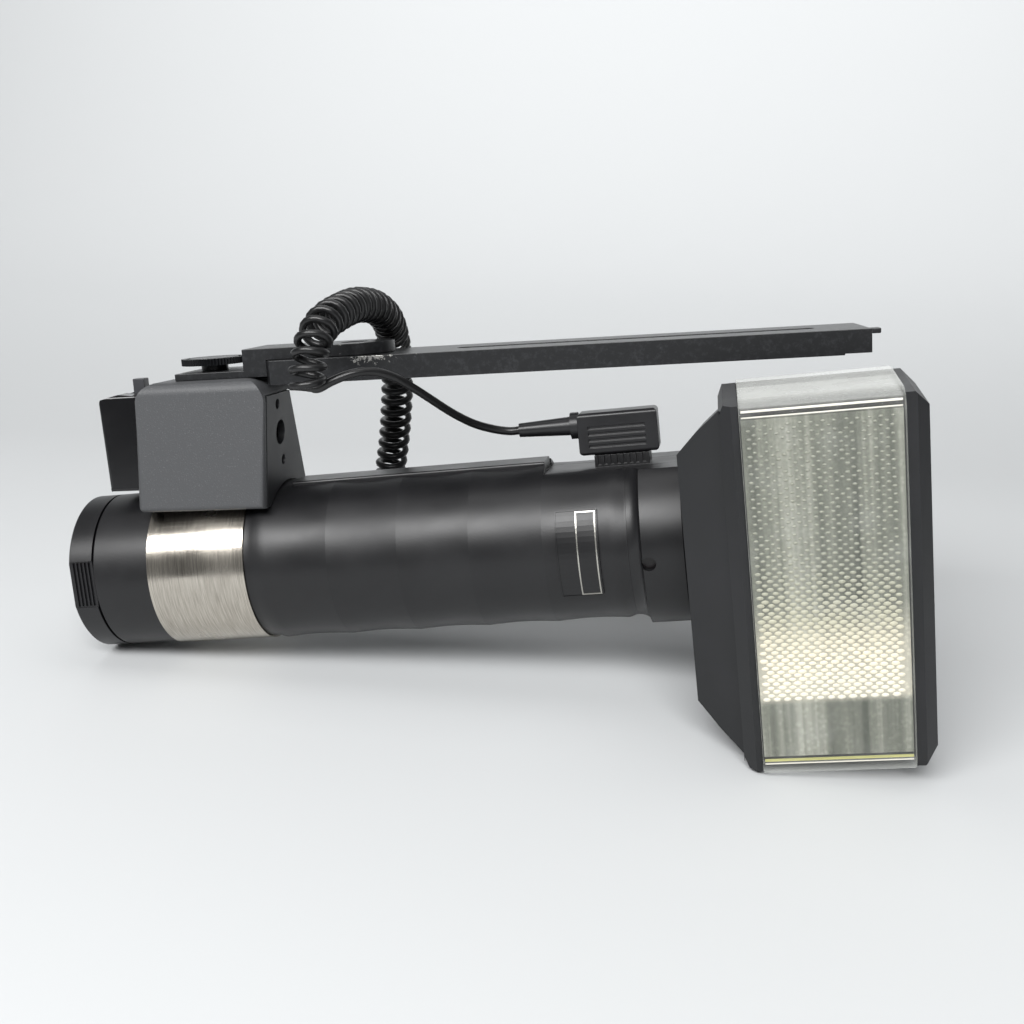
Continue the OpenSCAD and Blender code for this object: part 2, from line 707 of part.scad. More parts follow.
lap_z = arm_top - lap_t;
module bracket_arm() color("#3a3b3d") arm_frame() difference() {
    union() {
        block([-tongue_back, -arm_w / 2, tongue_z], [shoulder_x + 1, arm_w / 2, tongue_z + tongue_t]);
        block([shoulder_x, -arm_w / 2, tongue_z], [rail_x - 0.7, arm_w / 2, arm_top]);
        block([shoulder_x, -arm_w / 2, lap_z], [pivot_x, arm_w / 2, arm_top]);
        translate([pivot_x, 0, lap_z]) cylinder(r = arm_w / 2, h = lap_t, $fn = round_fn);
    }
    translate([0, 0, tongue_z - 1]) cylinder(r = knob_screw_r + 0.25, h = tongue_t + 2, $fn = small_fn);
    translate([pivot_x, 0, lap_z - 1]) cylinder(r = pivot_r + fit_gap, h = lap_t + 2, $fn = small_fn);
}

rail_z = lap_z - seat_gap - rail_t;
slot_end = rail_x + slot_x + slot_len;
module camera_rail() color("#2b2c2e") arm_frame() difference() {
    translate([0, rail_shift, rail_z]) linear_extrude(rail_t) polygon([
        [rail_x, -rail_w / 2 + rail_corner], [rail_x + 0.6 * rail_corner, -rail_w / 2],
        [rail_x + rail_len, -rail_w / 2], [rail_x + rail_len, rail_w / 2],
        [rail_x + 1.5 * rail_corner, rail_w / 2],
            [rail_x + 0.4 * rail_corner, rail_w / 2 - 0.5 * rail_corner],
        [rail_x, rail_w / 2 - 1.5 * rail_corner]]);
    block([rail_x + rail_len - 7, -rail_w, rail_z - 1], [rail_x + rail_len + 1, rail_w, rail_z + 0.4]);
    translate([pivot_x, 0, rail_z - 1]) cylinder(r = pivot_r + fit_gap, h = rail_t + 2, $fn = small_fn);
    translate([0, rail_shift, rail_z - 1]) linear_extrude(rail_t + 2) {
        translate([rail_x + slot_x + slot_w / 2, -slot_w / 2]) square([slot_len - slot_w, slot_w]);
        for (x = [rail_x + slot_x + slot_w / 2, slot_end - slot_w / 2]) translate([x, 0])
            circle(r = slot_w / 2, $fn = small_fn);
    }
}

module lap_pin() color("#6f7276") arm_frame() translate([pivot_x, 0, 0]) {
    translate([0, 0, rail_z + 0.3]) cylinder(r = pivot_r, h = arm_top - rail_z - 0.6, $fn = small_fn);
}

module rail_stop() color("#2b2c2e") arm_frame()
    translate([rail_x + rail_len, rail_shift + 6, rail_z + rail_t - 2.6])
        block([0, -2.2, 0], [5.6, 2.2, 1.5]);

// Swivel, tilt joint and head shell

tilt_reach = tilt_u - head_gap;
module swivel_neck() color("#2a2b2e") difference() {
    union() {
        bar_x(spigot_r, collar_end - spigot_len + 3, head_u + 0.4);
        intersection() {
            bar_x(spigot_r + 7, head_u - 0.1, head_u + 5);
            block([0, -tongue_half, -tongue_half], [2 * neck_u, 2 * tongue_half + 6, tongue_half]);
        }
        tilt_frame() difference() {
            along_z(-tongue_half, tongue_half) {
                circle(r = knuckle_r, $fn = round_fn);
                polygon([[-tilt_reach, -2 * tilt_back + tongue_half + 10],
                    [-tilt_reach + 5, -2 * tilt_back + tongue_half + 11],
                    [-2, -knuckle_r * 0.97], [0, knuckle_r], [-tilt_reach, knuckle_r * 0.2]]);
            }
        }
    }
    tilt_frame() translate([0, 0, -60]) cylinder(r = tilt_pin_r + fit_gap, h = 120, $fn = small_fn);
    bar_x(4, collar_end - spigot_len, head_u + 3, small_fn);
}

module along_z(from, to) translate([0, 0, from]) linear_extrude(to - from) children();

module swivel_ring() color("#7d7f83")
    turned([[4.6, collar_end - spigot_len + 2.9], [spigot_r - 1, collar_end - spigot_len + 2.9],
        [spigot_r - 1, collar_end - spigot_len + 1.9],
        [collar_r - collar_wall - 0.4, collar_end - spigot_len + 1.9],
            [collar_r - collar_wall - 0.4, collar_end - spigot_len + 0.4],
        [4.6, collar_end - spigot_len + 0.4]]);

module tilt_pin() color("#9a9ca0") tilt_frame()
    translate([0, 0, -tongue_half - tongue_gap - head_wall + 0.2])
        cylinder(r = tilt_pin_r, h = 2 * (tongue_half + tongue_gap + head_wall - 0.2), $fn = small_fn);

// Outline of the head seen from its bracket side
module head_side() {
    arc_r = tilt_reach;
    difference() {
        polygon([[head_u, -taper_front], [rim_u, -rim_front + 5.6], [rim_u, -rim_front + rim_round],
            [rim_u + rim_round, -rim_front], [head_end - rim_round, -rim_front],
                [head_end, -rim_front + rim_round],
            [head_end, head_rear_v - 2.4], [head_end - 2.4, head_rear_v],
                [head_u + tilt_reach, head_rear_v],
            [head_u, head_rear_v]]);
        difference() {
            translate([head_u - 1, tilt_back]) square([arc_r + 1, arc_r + 20]);
            translate([head_u + tilt_reach, tilt_back]) circle(r = arc_r, $fn = round_fn);
        }
        for (corner = [[rim_u, 1], [head_end, -1]]) difference() {
            translate([corner.x + corner.y * rim_round / 2 - rim_round / 2 - 0.01, -rim_front - 0.01])
                square([rim_round + 0.02, rim_round + 0.02]);
            translate([corner.x + corner.y * rim_round, -rim_front + rim_round])
                circle(r = rim_round, $fn = small_fn);
        }
    }
}

// Outline of the rims seen from the window side
module head_front() {
    h = head_half;
    polygon([[rim_u, -h + 3], [rim_u + 1.2, -h], [head_end - 3.4, -h], [head_end, -h + 4],
        [head_end, h - 4],
        [head_end - 3.4, h], [rim_u + 1.2, h], [rim_u, h - 3]]);
}

// One drawn-in side of the housing behind the rims, which narrows to the rear
module housing_side(side) mirror([0, 0, (1 - side) / 2]) translate([0, -waist_front_v, 0])
    rotate([-wedge_turn, 0, 0])
    along_y(-150, 150) polygon([[head_u - 2, -90], [head_u - 2, taper_half * cos(wedge_turn)],
        [head_u, taper_half * cos(wedge_turn)],
            [head_u + 0.5 * taper_h, (0.45 * taper_half + 0.55 * waist_half) * cos(wedge_turn)],
        [rim_u, waist_half * cos(wedge_turn)], [head_end + 1, waist_half * cos(wedge_turn)],
            [head_end + 1, -90]]);

// The room inside the housing behind the rims, seen from the far end
module room_section()
    polygon([[-waist_front_v - 3, -waist_half + head_wall + 1.4],
    [head_rear_v - head_wall, -waist_rear + head_wall + 0.6],
    [head_rear_v - head_wall, waist_rear - head_wall - 0.6],
        [-waist_front_v - 3, waist_half - head_wall - 1.4]]);

slot_half = tongue_half + tongue_gap;
window_u0 = rim_u + rim_t;
window_u1 = head_end - rim_t - 1;
window_back = window_front - window_depth;
module head_shell() color("#2a2b2d") difference() {
    intersection() {
        along_z(-head_half, head_half) head_side();
        union() {
            along_y(-rim_front - 1, -waist_front_v) head_front();
            intersection() {
                housing_side(1);
                housing_side(-1);
                along_z(-60, 60) polygon([[head_u - 2, -60], [rim_u + 0.2, -60],
                    [rim_u + 0.2, -waist_front_v - eps],
                    [head_end + 1, -waist_front_v - eps], [head_end + 1, 60], [head_u - 2, 60]]);
            }
        }
    }
    // Hollow inside, left solid round the tilt slot
    difference() {
        union() {
            block([window_u0 + 0.3, -rim_front - 1, -inner_half - 0.1],
                [window_u1 - 0.3, -waist_front_v - 2.2, inner_half + 0.1]);
            along_x(rim_u + head_wall, head_end - head_wall) room_section();
        }
        block([0, -tilt_slot_front - head_wall, -slot_half - head_wall],
            [collar_end + tilt_u + knuckle_r + 1 + head_wall, 60, slot_half + head_wall]);
    }
    // Recess for the clear window, open to the front and to both ends
    block([window_u0 - 0.15, -rim_front - 1, -60],
        [window_u1 + 0.15, -window_back + 0.15, -window_half + window_t + 0.15]);
    block([window_u0 - 0.15, -rim_front - 1, window_half - window_t - 0.15],
        [window_u1 + 0.15, -window_back + 0.15, 60]);
    block([window_u0 - 0.15, -rim_front - 1, -head_half], [window_u1 + 0.15, -rim_front + 3.4, head_half]);
    // Slot that the tongue stands in
    block([head_u - 2, -tilt_slot_front, -slot_half], [collar_end + tilt_u + 1, 80, slot_half]);
    block([head_u - 2, tilt_back - knuckle_r - 0.6, -slot_half],
        [collar_end + tilt_u + knuckle_r + 0.6, 80, slot_half]);
    // Clearance over the round swivel foot
    bar_x(spigot_r + 8, head_u - 1, head_u + 0.6);
    tilt_frame() translate([0, 0, -slot_half - head_wall])
        cylinder(r = tilt_pin_r + fit_gap, h = 2 * (slot_half + head_wall), $fn = small_fn);
    dial_seat();
}
tilt_slot_front = 10;

dial_u = head_end - dial_r - 5;
dial_z = waist_rear - dial_r - 2.6;
dial_axle_r = 2.5;
module dial_seat() {
    translate([dial_u, head_rear_v + 1, dial_z]) rotate([90, 0, 0])
        cylinder(r = dial_axle_r + fit_gap, h = 20, $fn = small_fn);
    translate([test_u, head_rear_v + 1, test_z]) rotate([90, 0, 0])
        cylinder(r = test_r + fit_gap, h = 20, $fn = small_fn);
    translate([lamp_u, head_rear_v + 1, lamp_z]) rotate([90, 0, 0])
        cylinder(r = lamp_r + fit_gap, h = 20, $fn = small_fn);
    block([switch_u - 1.6, head_rear_v - 6, switch_z - switch_len / 2 - switch_travel],
        [switch_u + 1.6, head_rear_v + 1, switch_z + switch_len / 2]);
}

panel_low = collar_end + tilt_u + 2;
rear_cover = head_rear_v + panel_t;
test_u = head_end - 9;
test_z = 2 - slot_half;
lamp_u = head_end - 9;
lamp_z = test_z - 6.6;
switch_u = panel_low + 15;
switch_z = test_z - 1;

module rear_panel() color("#1f2022") difference() {
    translate([0, rear_cover, 0]) rotate([90, 0, 0]) linear_extrude(panel_t) difference() {
        round_rect([panel_low, -waist_rear + 1.6], [head_end - 3, waist_rear - 1.6], 2);
        translate([panel_low - 1, -slot_half]) square([knuckle_r, 2 * slot_half]);
    }
    translate([0, panel_t, 0]) dial_seat();
}

module calculator_dial() color("#303236") translate([dial_u, 0, dial_z]) {
    translate([0, rear_cover + fit_gap + dial_t, 0]) rotate([90, 0, 0]) linear_extrude(dial_t) polygon([
        for (i = [0 : 2 * dial_knurls - 1])
            let (a = i * 180 / dial_knurls, r = i % 2 == 0 ? dial_r : dial_r - 0.4)
            [r * cos(a), r * sin(a)]]);
    translate([0, rear_cover + 1, 0]) rotate([90, 0, 0])
        cylinder(r = dial_axle_r, h = panel_t + head_wall + 1.4, $fn = small_fn);
}
dial_knurls = 48;

module ready_lamp() color("#c0562a") translate([lamp_u, rear_cover + 0.5, lamp_z]) rotate([90, 0, 0])
    cylinder(r = lamp_r, h = panel_t + head_wall + 0.5, $fn = small_fn);

module test_button() color("#3a3b3f") translate([test_u, rear_cover + 1.8, test_z]) rotate([90, 0, 0])
    cylinder(r = test_r, h = panel_t + head_wall + 1.8, $fn = small_fn);

module main_switch() color("#55575c") {
    block([switch_u - switch_w / 2, rear_cover + fit_gap, switch_z - switch_len / 2],
        [switch_u + switch_w / 2, rear_cover + 2, switch_z + switch_len / 2]);
    block([switch_u - 1.5, head_rear_v - 3.4, switch_z - switch_len / 2 + 1.6],
        [switch_u + 1.5, rear_cover + 0.1, switch_z + switch_len / 2 - 0.4]);
}

screw_r = 1.5;
module head_screws() color("#17181a")
    for (corner = [[panel_low + 4, -1], [head_end - 4.8, -1], [head_end - 4.8, 1]])
        translate([corner.x, rear_cover + 0.5, corner.y * (waist_rear - 3.3)]) rotate([90, 0, 0])
            cylinder(r = screw_r, h = 0.5, $fn = small_fn);

// Window, prism panel, reflector and flash tube

inner_half = window_half - window_t - head_wall - 0.2;
module clear_window() color([0.92, 0.94, 0.9, 0.35]) along_x(window_u0, window_u1) difference() {
    union() {
        round_rect([-window_front, -window_half], [-window_front + 3 * window_round, window_half],
            window_round);
        translate([-window_front + window_round, -window_half])
            square([window_depth - window_round, 2 * window_half]);
    }
    round_rect([-window_front + window_t, -window_half + window_t],
        [-window_front + 3 * window_round, window_half - window_t], window_round - window_t);
    translate([-window_front + window_round, -window_half + window_t])
        square([window_depth, 2 * (window_half - window_t)]);
}

prism_face = -window_front + window_t + 0.4;
prism_count = floor((window_u1 - window_u0 - 3) / prism_pitch);
module prism_panel() color([0.85, 0.85, 0.78, 0.6])
    along_z(-window_half + window_round + 0.4, window_half - window_round - 0.4) polygon(concat(
    [[window_u0 + 0.4, prism_face], [window_u1 - 0.4, prism_face], [window_u1 - 0.4, prism_face + prism_t]],
    [for (i = [prism_count : -1 : 1], edge = [1, 0])
        [window_u0 + 1.5 + (i - (edge == 1 ? 0 : 0.5)) * prism_pitch,
            prism_face + prism_t + (edge == 1 ? 0 : 0.5)]],
    [[window_u0 + 1.5, prism_face + prism_t], [window_u0 + 0.4, prism_face + prism_t]]));

reflector_face = prism_face + prism_t + 0.8;
reflector_mid = (window_u0 + window_u1) / 2;
reflector_half = (window_u1 - window_u0) / 2 - 0.6;
function bowl(scale_by, offset) = [for (i = [-12 : 12]) let (f = i / 12)
    [reflector_mid + f * (reflector_half - offset),
        reflector_face + offset * 0.6 + (reflector_depth - offset) * sqrt(1 - 0.93 * f * f) * scale_by]];
module reflector() color("#c9ccd0") difference() {
    along_z(-inner_half, inner_half) polygon(concat(bowl(1, 0),
        [[reflector_mid + reflector_half, reflector_face],
            [reflector_mid - reflector_half, reflector_face]]));
    along_z(-inner_half + reflector_t, inner_half - reflector_t) polygon(concat(bowl(1, reflector_t),
        [[reflector_mid + reflector_half - reflector_t, reflector_face - 1],
            [reflector_mid - reflector_half + reflector_t, reflector_face - 1]]));
    translate([reflector_mid, tube_v, -window_half])
        cylinder(r = tube_r + 0.3, h = 2 * window_half, $fn = small_fn);
}

tube_behind = 6.5;
tube_v = reflector_face + reflector_depth - tube_behind;
tube_half = inner_half - 0.3;
module flash_tube() color([0.9, 0.9, 0.85, 0.7]) translate([reflector_mid, tube_v, -tube_half])
    cylinder(r = tube_r, h = 2 * tube_half, $fn = small_fn);

module tube_holders() color("#2e6b4a") for (side = [-1, 1])
    translate([reflector_mid, tube_v, side * (inner_half - 2 * reflector_t - 1)]) difference() {
        block([-3.4, -3.4, -0.8],
            [3.4, reflector_face + reflector_depth - reflector_t - 0.3 - tube_v, 0.8]);
        cylinder(r = tube_r + fit_gap, h = 6, center = true, $fn = small_fn);
    }

head_board_u = head_end - head_wall - seat_gap;
head_board_w = 13.9;
head_board_v = 8;
module head_board() color("#2f5b3c") {
    block([head_board_u - head_board_w, head_board_v, -waist_rear],
        [head_board_u, head_board_v + board_t, waist_rear]);
    block([head_board_u - head_board_w + 2, head_board_v + board_t, 4],
        [head_board_u - 2, head_board_v + board_t + 9, 16]);
}

// Plug, cord and curls

plug_u = socket_u - 4.1;
plug_bottom = socket_top + fit_gap;
relief_z = plug_bottom + 0.7 * plug_h;
module plug_body() color("#232426") grip_frame() difference() {
    intersection() {
        along_y(-plug_w / 2, plug_w / 2)
            round_rect([plug_u, plug_bottom], [plug_u + plug_len, plug_bottom + plug_h], 1.2);
        along_x(plug_u - 1, plug_u + plug_len + 1)
            round_rect([-plug_w / 2, plug_bottom], [plug_w / 2, plug_bottom + plug_h], 1.2);
    }
    for (side = [-1, 1], i = [0 : 3])
        translate([plug_u + plug_len / 2 - 0.3, side * plug_w / 2, plug_bottom + 2.5 + i * 1.75])
            cube([plug_len - 6.6, 0.9, 0.8], center = true);
}

module plug_relief() color("#1c1d1f") grip_frame() translate([plug_u, 0, relief_z]) rotate([0, -90, 0]) {
    cylinder(r = relief_r + 1, h = 2.2, $fn = small_fn);
    cylinder(r1 = relief_r, r2 = relief_tip_r, h = relief_len, $fn = small_fn);
}

// The cord's routes are points on the table's own axes, chosen by hand
lead_route = [[1.2, 4.9, 73.2], [-3.5, 2, 75.2], [-7.5, -1.8, 78.2], [-11, -5.8, 81.6], [-14.5, -10, 85.4],
    [-18, -14, 89], [-22, -18, 92.5], [-27, -21.5, 94.6], [-32, -24.5, 94.4], [-37, -26.5, 92.5],
        [-40, -27, 90.8]];
curl_route = [[-42, -31, 91], [-42, -30.5, 95.5], [-41.5, -29, 100], [-41, -26, 104], [-40, -20.5, 107],
    [-39, -14.5, 108], [-38, -8, 108.5], [-37, -1, 108.5], [-36, 6, 107.5], [-35, 14, 105.5],
        [-34, 22, 101.5],
    [-34, 29, 96], [-34, 34, 88], [-34.5, 37, 79], [-35.5, 39, 69], [-37, 41, 58], [-39, 43, 47],
        [-40.5, 45, 36],
    [-39.5, 47, 26], [-35.5, 49.5, 17], [-28, 52, 11], [-18, 54, 7.5], [-7, 56, 6], [8, 58, 6], [24, 58, 6],
    [40, 58, 6], [56, 58, 6]];
tail_route = [[57.5, 62, 2], [60, 67, 2], [66, 72, 2], [74, 74, 2], [84, 74, 2], [92, 74, 2.4],
    [99, 74, 3.2], [106, 74, 3.4]];

// A smooth curve through the points of a route
function curve_at(p, t) =
    let (n = len(p), i = min(floor(t), n - 2), f = t - i,
        a = p[max(i - 1, 0)], b = p[i], c = p[i + 1], d = p[min(i + 2, n - 1)])
    0.5 * (2 * b + (c - a) * f + (2 * a - 5 * b + 4 * c - d) * f * f + (3 * b - a - 3 * c + d) * f * f * f);
function curve(p, steps) = [for (i = [0 : (len(p) - 1) * steps]) curve_at(p, i / steps)];
function run_length(p, i = 0, sum = 0) = i >= len(p) - 1 ? sum : run_length(p, i + 1,
    sum + norm(p[i + 1] - p[i]));
function run_sums(p) = [for (i = 0,
    s = 0; i < len(p); s = s + (i < len(p) - 1 ? norm(p[i + 1] - p[i]) : 0), i = i + 1) s];
function find_step(sums, s, lo, hi) = hi - lo <= 1 ? lo
    : let (mid = floor((lo + hi) / 2)) sums[mid] <= s ? find_step(sums, s, mid, hi)
        : find_step(sums, s, lo, mid);
function point_at(p, sums, s) =
    let (i = find_step(sums, min(max(s, 0), sums[len(sums) - 1] - 0.0001), 0, len(sums) - 1),
        gap = sums[i + 1] - sums[i])
    p[i] + (p[i + 1] - p[i]) * (min(max(s, 0), sums[len(sums) - 1]) - sums[i]) / gap;
function unit(v) = v / norm(v);
function heading(p, i) = unit(p[min(i + 1, len(p) - 1)] - p[max(i - 1, 0)]);

// A side vector carried along the curve without twist
function carried(p, i = 0, side = [0, 0, 0], out = []) = i >= len(p) ? out
    : let (h = heading(p, i), start = i == 0 ? cross(h, abs(h.z) < 0.9 ? [0, 0, 1] : [1, 0, 0]) : side,
        now = unit(start - h * (start * h)))
    carried(p, i + 1, now, concat(out, [now]));

// A tube of one radius along a list of points
module tube(p, r, sides) {
    frames = carried(p);
    rings = [for (i = [0 : len(p) - 1]) let (h = heading(p, i), a = frames[i], b = cross(h, a))
        for (k = [0 : sides - 1]) p[i] + r * (cos(k * 360 / sides) * a + sin(k * 360 / sides) * b)];
    last = (len(p) - 1) * sides;
    polyhedron(rings, concat(
        [for (i = [0 : len(p) - 2], k = [0 : sides - 1]) let (q = i * sides, n = (k + 1) % sides)
            each [[q + k, q + sides + n, q + n], [q + k, q + sides + k, q + sides + n]]],
        [for (k = [1 : sides - 2]) [0, k, k + 1]],
        [for (k = [1 : sides - 2]) [last, last + k + 1, last + k]]));
}

curl_axis = curve(curl_route, 6);
curl_sums = run_sums(curl_axis);
curl_total = curl_sums[len(curl_sums) - 1];
curl_mid_r = curl_r - curl_d / 2;
curl_rings = 8;
curl_sides = carried(curl_axis);
function side_at(s) = let (i = find_step(curl_sums, min(s, curl_total - 0.0001), 0, len(curl_sums) - 1))
    curl_sides[i];
function head_at(s) = let (i = find_step(curl_sums, min(s, curl_total - 0.0001), 0, len(curl_sums) - 1))
    heading(curl_axis, i);
curl_line = [for (k = [0 : curl_count * curl_rings + 1])
    let (s = curl_total * k / (curl_count * curl_rings + 1), a = 360 * k / curl_rings, h = head_at(s),
        m = side_at(s),
        side = unit(m - h * (m * h)))
    point_at(curl_axis, curl_sums, s) + curl_mid_r * (cos(a) * side + sin(a) * cross(h, side))];
curl_gap = min([for (i = [0 : 4 : len(curl_line) - 1], j = [i + 5 : min(i + 11, len(curl_line) - 1)])
    norm(curl_line[i] - curl_line[j])]) - curl_d;
echo(curl_gap = curl_gap, curl_length = run_length(curl_line), axis_length = curl_total,  // curly_cord
        lead_length = run_length(lead_curve));

tail_start = curl_line[len(curl_line) - 1];
lead_start = set_down([plug_u - relief_len, relief_z * sin(clamp_turn), relief_z * cos(clamp_turn)]);
lead_straight = set_down([plug_u - relief_len - 3, relief_z * sin(clamp_turn), relief_z * cos(clamp_turn)]);
lead_curve = curve(concat([lead_start, lead_straight], lead_route, [curl_line[0]]), 4);
module cord_lead() color("#18191a") tube(lead_curve, cord_d / 2, 8);
module curly_cord() color("#161718") tube(curl_line, curl_d / 2, 6);
module cord_tail() color("#18191a") tube(curve(concat([tail_start], tail_route), 4), cord_d / 2, 8);
sync_r = 3.4;
module sync_plug() color("#a8a9a4") translate(tail_route[len(tail_route) - 1]) rotate([0, 90, 0]) {
    cylinder(r = sync_r - 0.8, h = 3, $fn = small_fn);
    translate([0, 0, 3]) cylinder(r = sync_r, h = 9, $fn = small_fn);
    translate([0, 0, 12]) cylinder(r = 1.2, h = 2.4, $fn = small_fn);
}

lying() handle_shell();
lying() sensor_collar();
lying() photo_sensor();
lying() side_strip();
lying() socket_panel();
lying() battery_cap();
lying() battery_basket();
lying() battery_cells();
lying() contact_springs();
lying() main_capacitor();
lying() handle_board();
lying() clamp_band();
lying() clamp_saddle();
lying() block_cover();
lying() side_plate();
lying() release_lever();
lying() lever_pin();
lying() lever_bracket();
lying() lock_button();
lying() clamp_knob();
lying() bracket_arm();
lying() camera_rail();
lying() lap_pin();
lying() rail_stop();
lying() swivel_neck();
lying() swivel_ring();
lying() tilt_pin();
lying() head_shell();
lying() rear_panel();
lying() reflector();
lying() flash_tube();
lying() tube_holders();
lying() prism_panel();
lying() clear_window();
lying() head_board();
lying() calculator_dial();
lying() ready_lamp();
lying() test_button();
lying() main_switch();
lying() head_screws();
lying() plug_body();
lying() plug_relief();
cord_lead();
curly_cord();
cord_tail();
sync_plug();
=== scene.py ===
"""A handle mount flash lying on its side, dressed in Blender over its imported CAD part."""

import json
import logging
import math
import random
from collections.abc import Callable
from dataclasses import dataclass
from enum import Enum

import bpy
from mathutils import Matrix, Vector

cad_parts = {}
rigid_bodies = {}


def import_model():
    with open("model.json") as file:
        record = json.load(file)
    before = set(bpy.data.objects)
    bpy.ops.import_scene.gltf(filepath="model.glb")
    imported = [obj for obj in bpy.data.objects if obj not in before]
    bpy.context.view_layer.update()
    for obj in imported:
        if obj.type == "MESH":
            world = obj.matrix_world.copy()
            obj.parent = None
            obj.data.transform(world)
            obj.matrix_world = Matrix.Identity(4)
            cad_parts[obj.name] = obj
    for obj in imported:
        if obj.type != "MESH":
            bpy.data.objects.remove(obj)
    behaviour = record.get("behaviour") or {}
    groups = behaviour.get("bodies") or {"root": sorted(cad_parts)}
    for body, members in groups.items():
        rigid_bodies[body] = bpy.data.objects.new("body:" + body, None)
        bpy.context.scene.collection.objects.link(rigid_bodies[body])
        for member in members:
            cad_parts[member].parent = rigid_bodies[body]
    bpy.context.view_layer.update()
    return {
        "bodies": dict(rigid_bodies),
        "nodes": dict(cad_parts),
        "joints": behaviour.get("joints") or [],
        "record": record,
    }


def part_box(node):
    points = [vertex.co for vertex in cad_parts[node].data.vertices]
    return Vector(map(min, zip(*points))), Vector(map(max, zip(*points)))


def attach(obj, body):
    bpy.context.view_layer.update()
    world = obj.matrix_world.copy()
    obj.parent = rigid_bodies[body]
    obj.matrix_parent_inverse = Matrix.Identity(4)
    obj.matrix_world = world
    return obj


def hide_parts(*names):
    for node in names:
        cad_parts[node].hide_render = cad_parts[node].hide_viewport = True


LOG = logging.getLogger("flash")
MM = 0.001
Point = tuple[float, float, float]


class Side(Enum):
    """The two long sides that a trim line can lie on."""

    UPPER = 1
    LOWER = -1


@dataclass(frozen=True)
class Lie:
    """How the flash lies on the table, as in the part's source, in millimetres and degrees."""

    place: Point = (-120.0673, 2.225, 22.8156)
    tilt: float = 7.633034
    clamp_turn: float = 7.5
    bracket_lean: float = 2.5
    bracket_u: float = 42.0
    knob_u: float = 2.3
    knob_v: float = 4.5
    arm_swing: float = 2.4

    def handle(self) -> Matrix:
        """Returns the handle's own frame in the row frame, in metres."""
        place = Matrix.Translation(Vector(self.place) * MM)
        return place @ Matrix.Rotation(-math.radians(self.tilt), 4, "Y") @ Matrix.Scale(MM, 4)

    def grip(self) -> Matrix:
        """Returns the frame of the strip and the plug, which is turned with the bracket."""
        return self.handle() @ Matrix.Rotation(-math.radians(self.clamp_turn), 4, "X")

    def arm(self) -> Matrix:
        """Returns the frame of the arm and rail, with its origin on the knob's axis."""
        lean = Matrix.Rotation(math.radians(self.bracket_lean), 4, "Y")
        turn = Matrix.Rotation(-math.radians(self.clamp_turn), 4, "X")
        swing = Matrix.Rotation(math.radians(self.arm_swing), 4, "Z")
        bracket = self.handle() @ Matrix.Translation((self.bracket_u, 0, 0)) @ turn @ lean
        return bracket @ Matrix.Translation((self.knob_u, -self.knob_v, 0)) @ swing


LIE = Lie()


def linear(code: str) -> tuple[float, float, float, float]:
    """Turns an sRGB hex colour into Blender's linear values.

    Args:
        code: six hex digits, as in "1b1b1d".

    Returns:
        Red, green, blue and an alpha of one.
    """
    out = []
    for i in (0, 2, 4):
        c = int(code[i:i + 2], 16) / 255
        out.append(c / 12.92 if c <= 0.04045 else ((c + 0.055) / 1.055) ** 2.4)
    return (out[0], out[1], out[2], 1.0)


def add(tree: bpy.types.NodeTree, kind: str, settings: dict | None = None,
        **inputs: object) -> bpy.types.Node:
    """Adds one node with its settings and inputs.

    Args:
        tree: the material's node tree.
        kind: the node's Blender type name.
        settings: properties of the node, set before its inputs.
        inputs: what feeds each socket: another socket, a value or a hex colour. A socket is given by
            its name with underscores for spaces, or by its number after an n.

    Returns:
        The new node.
    """
    node = tree.nodes.new(kind)
    for name, value in (settings or {}).items():
        setattr(node, name, value)
    for name, source in inputs.items():
        key = int(name[1:]) if name[0] == "n" and name[1:].isdigit() else name.replace("_", " ")
        if isinstance(source, bpy.types.NodeSocket):
            tree.links.new(source, node.inputs[key])
        else:
            node.inputs[key].default_value = linear(source) if isinstance(source, str) else source
    return node


# Finishes


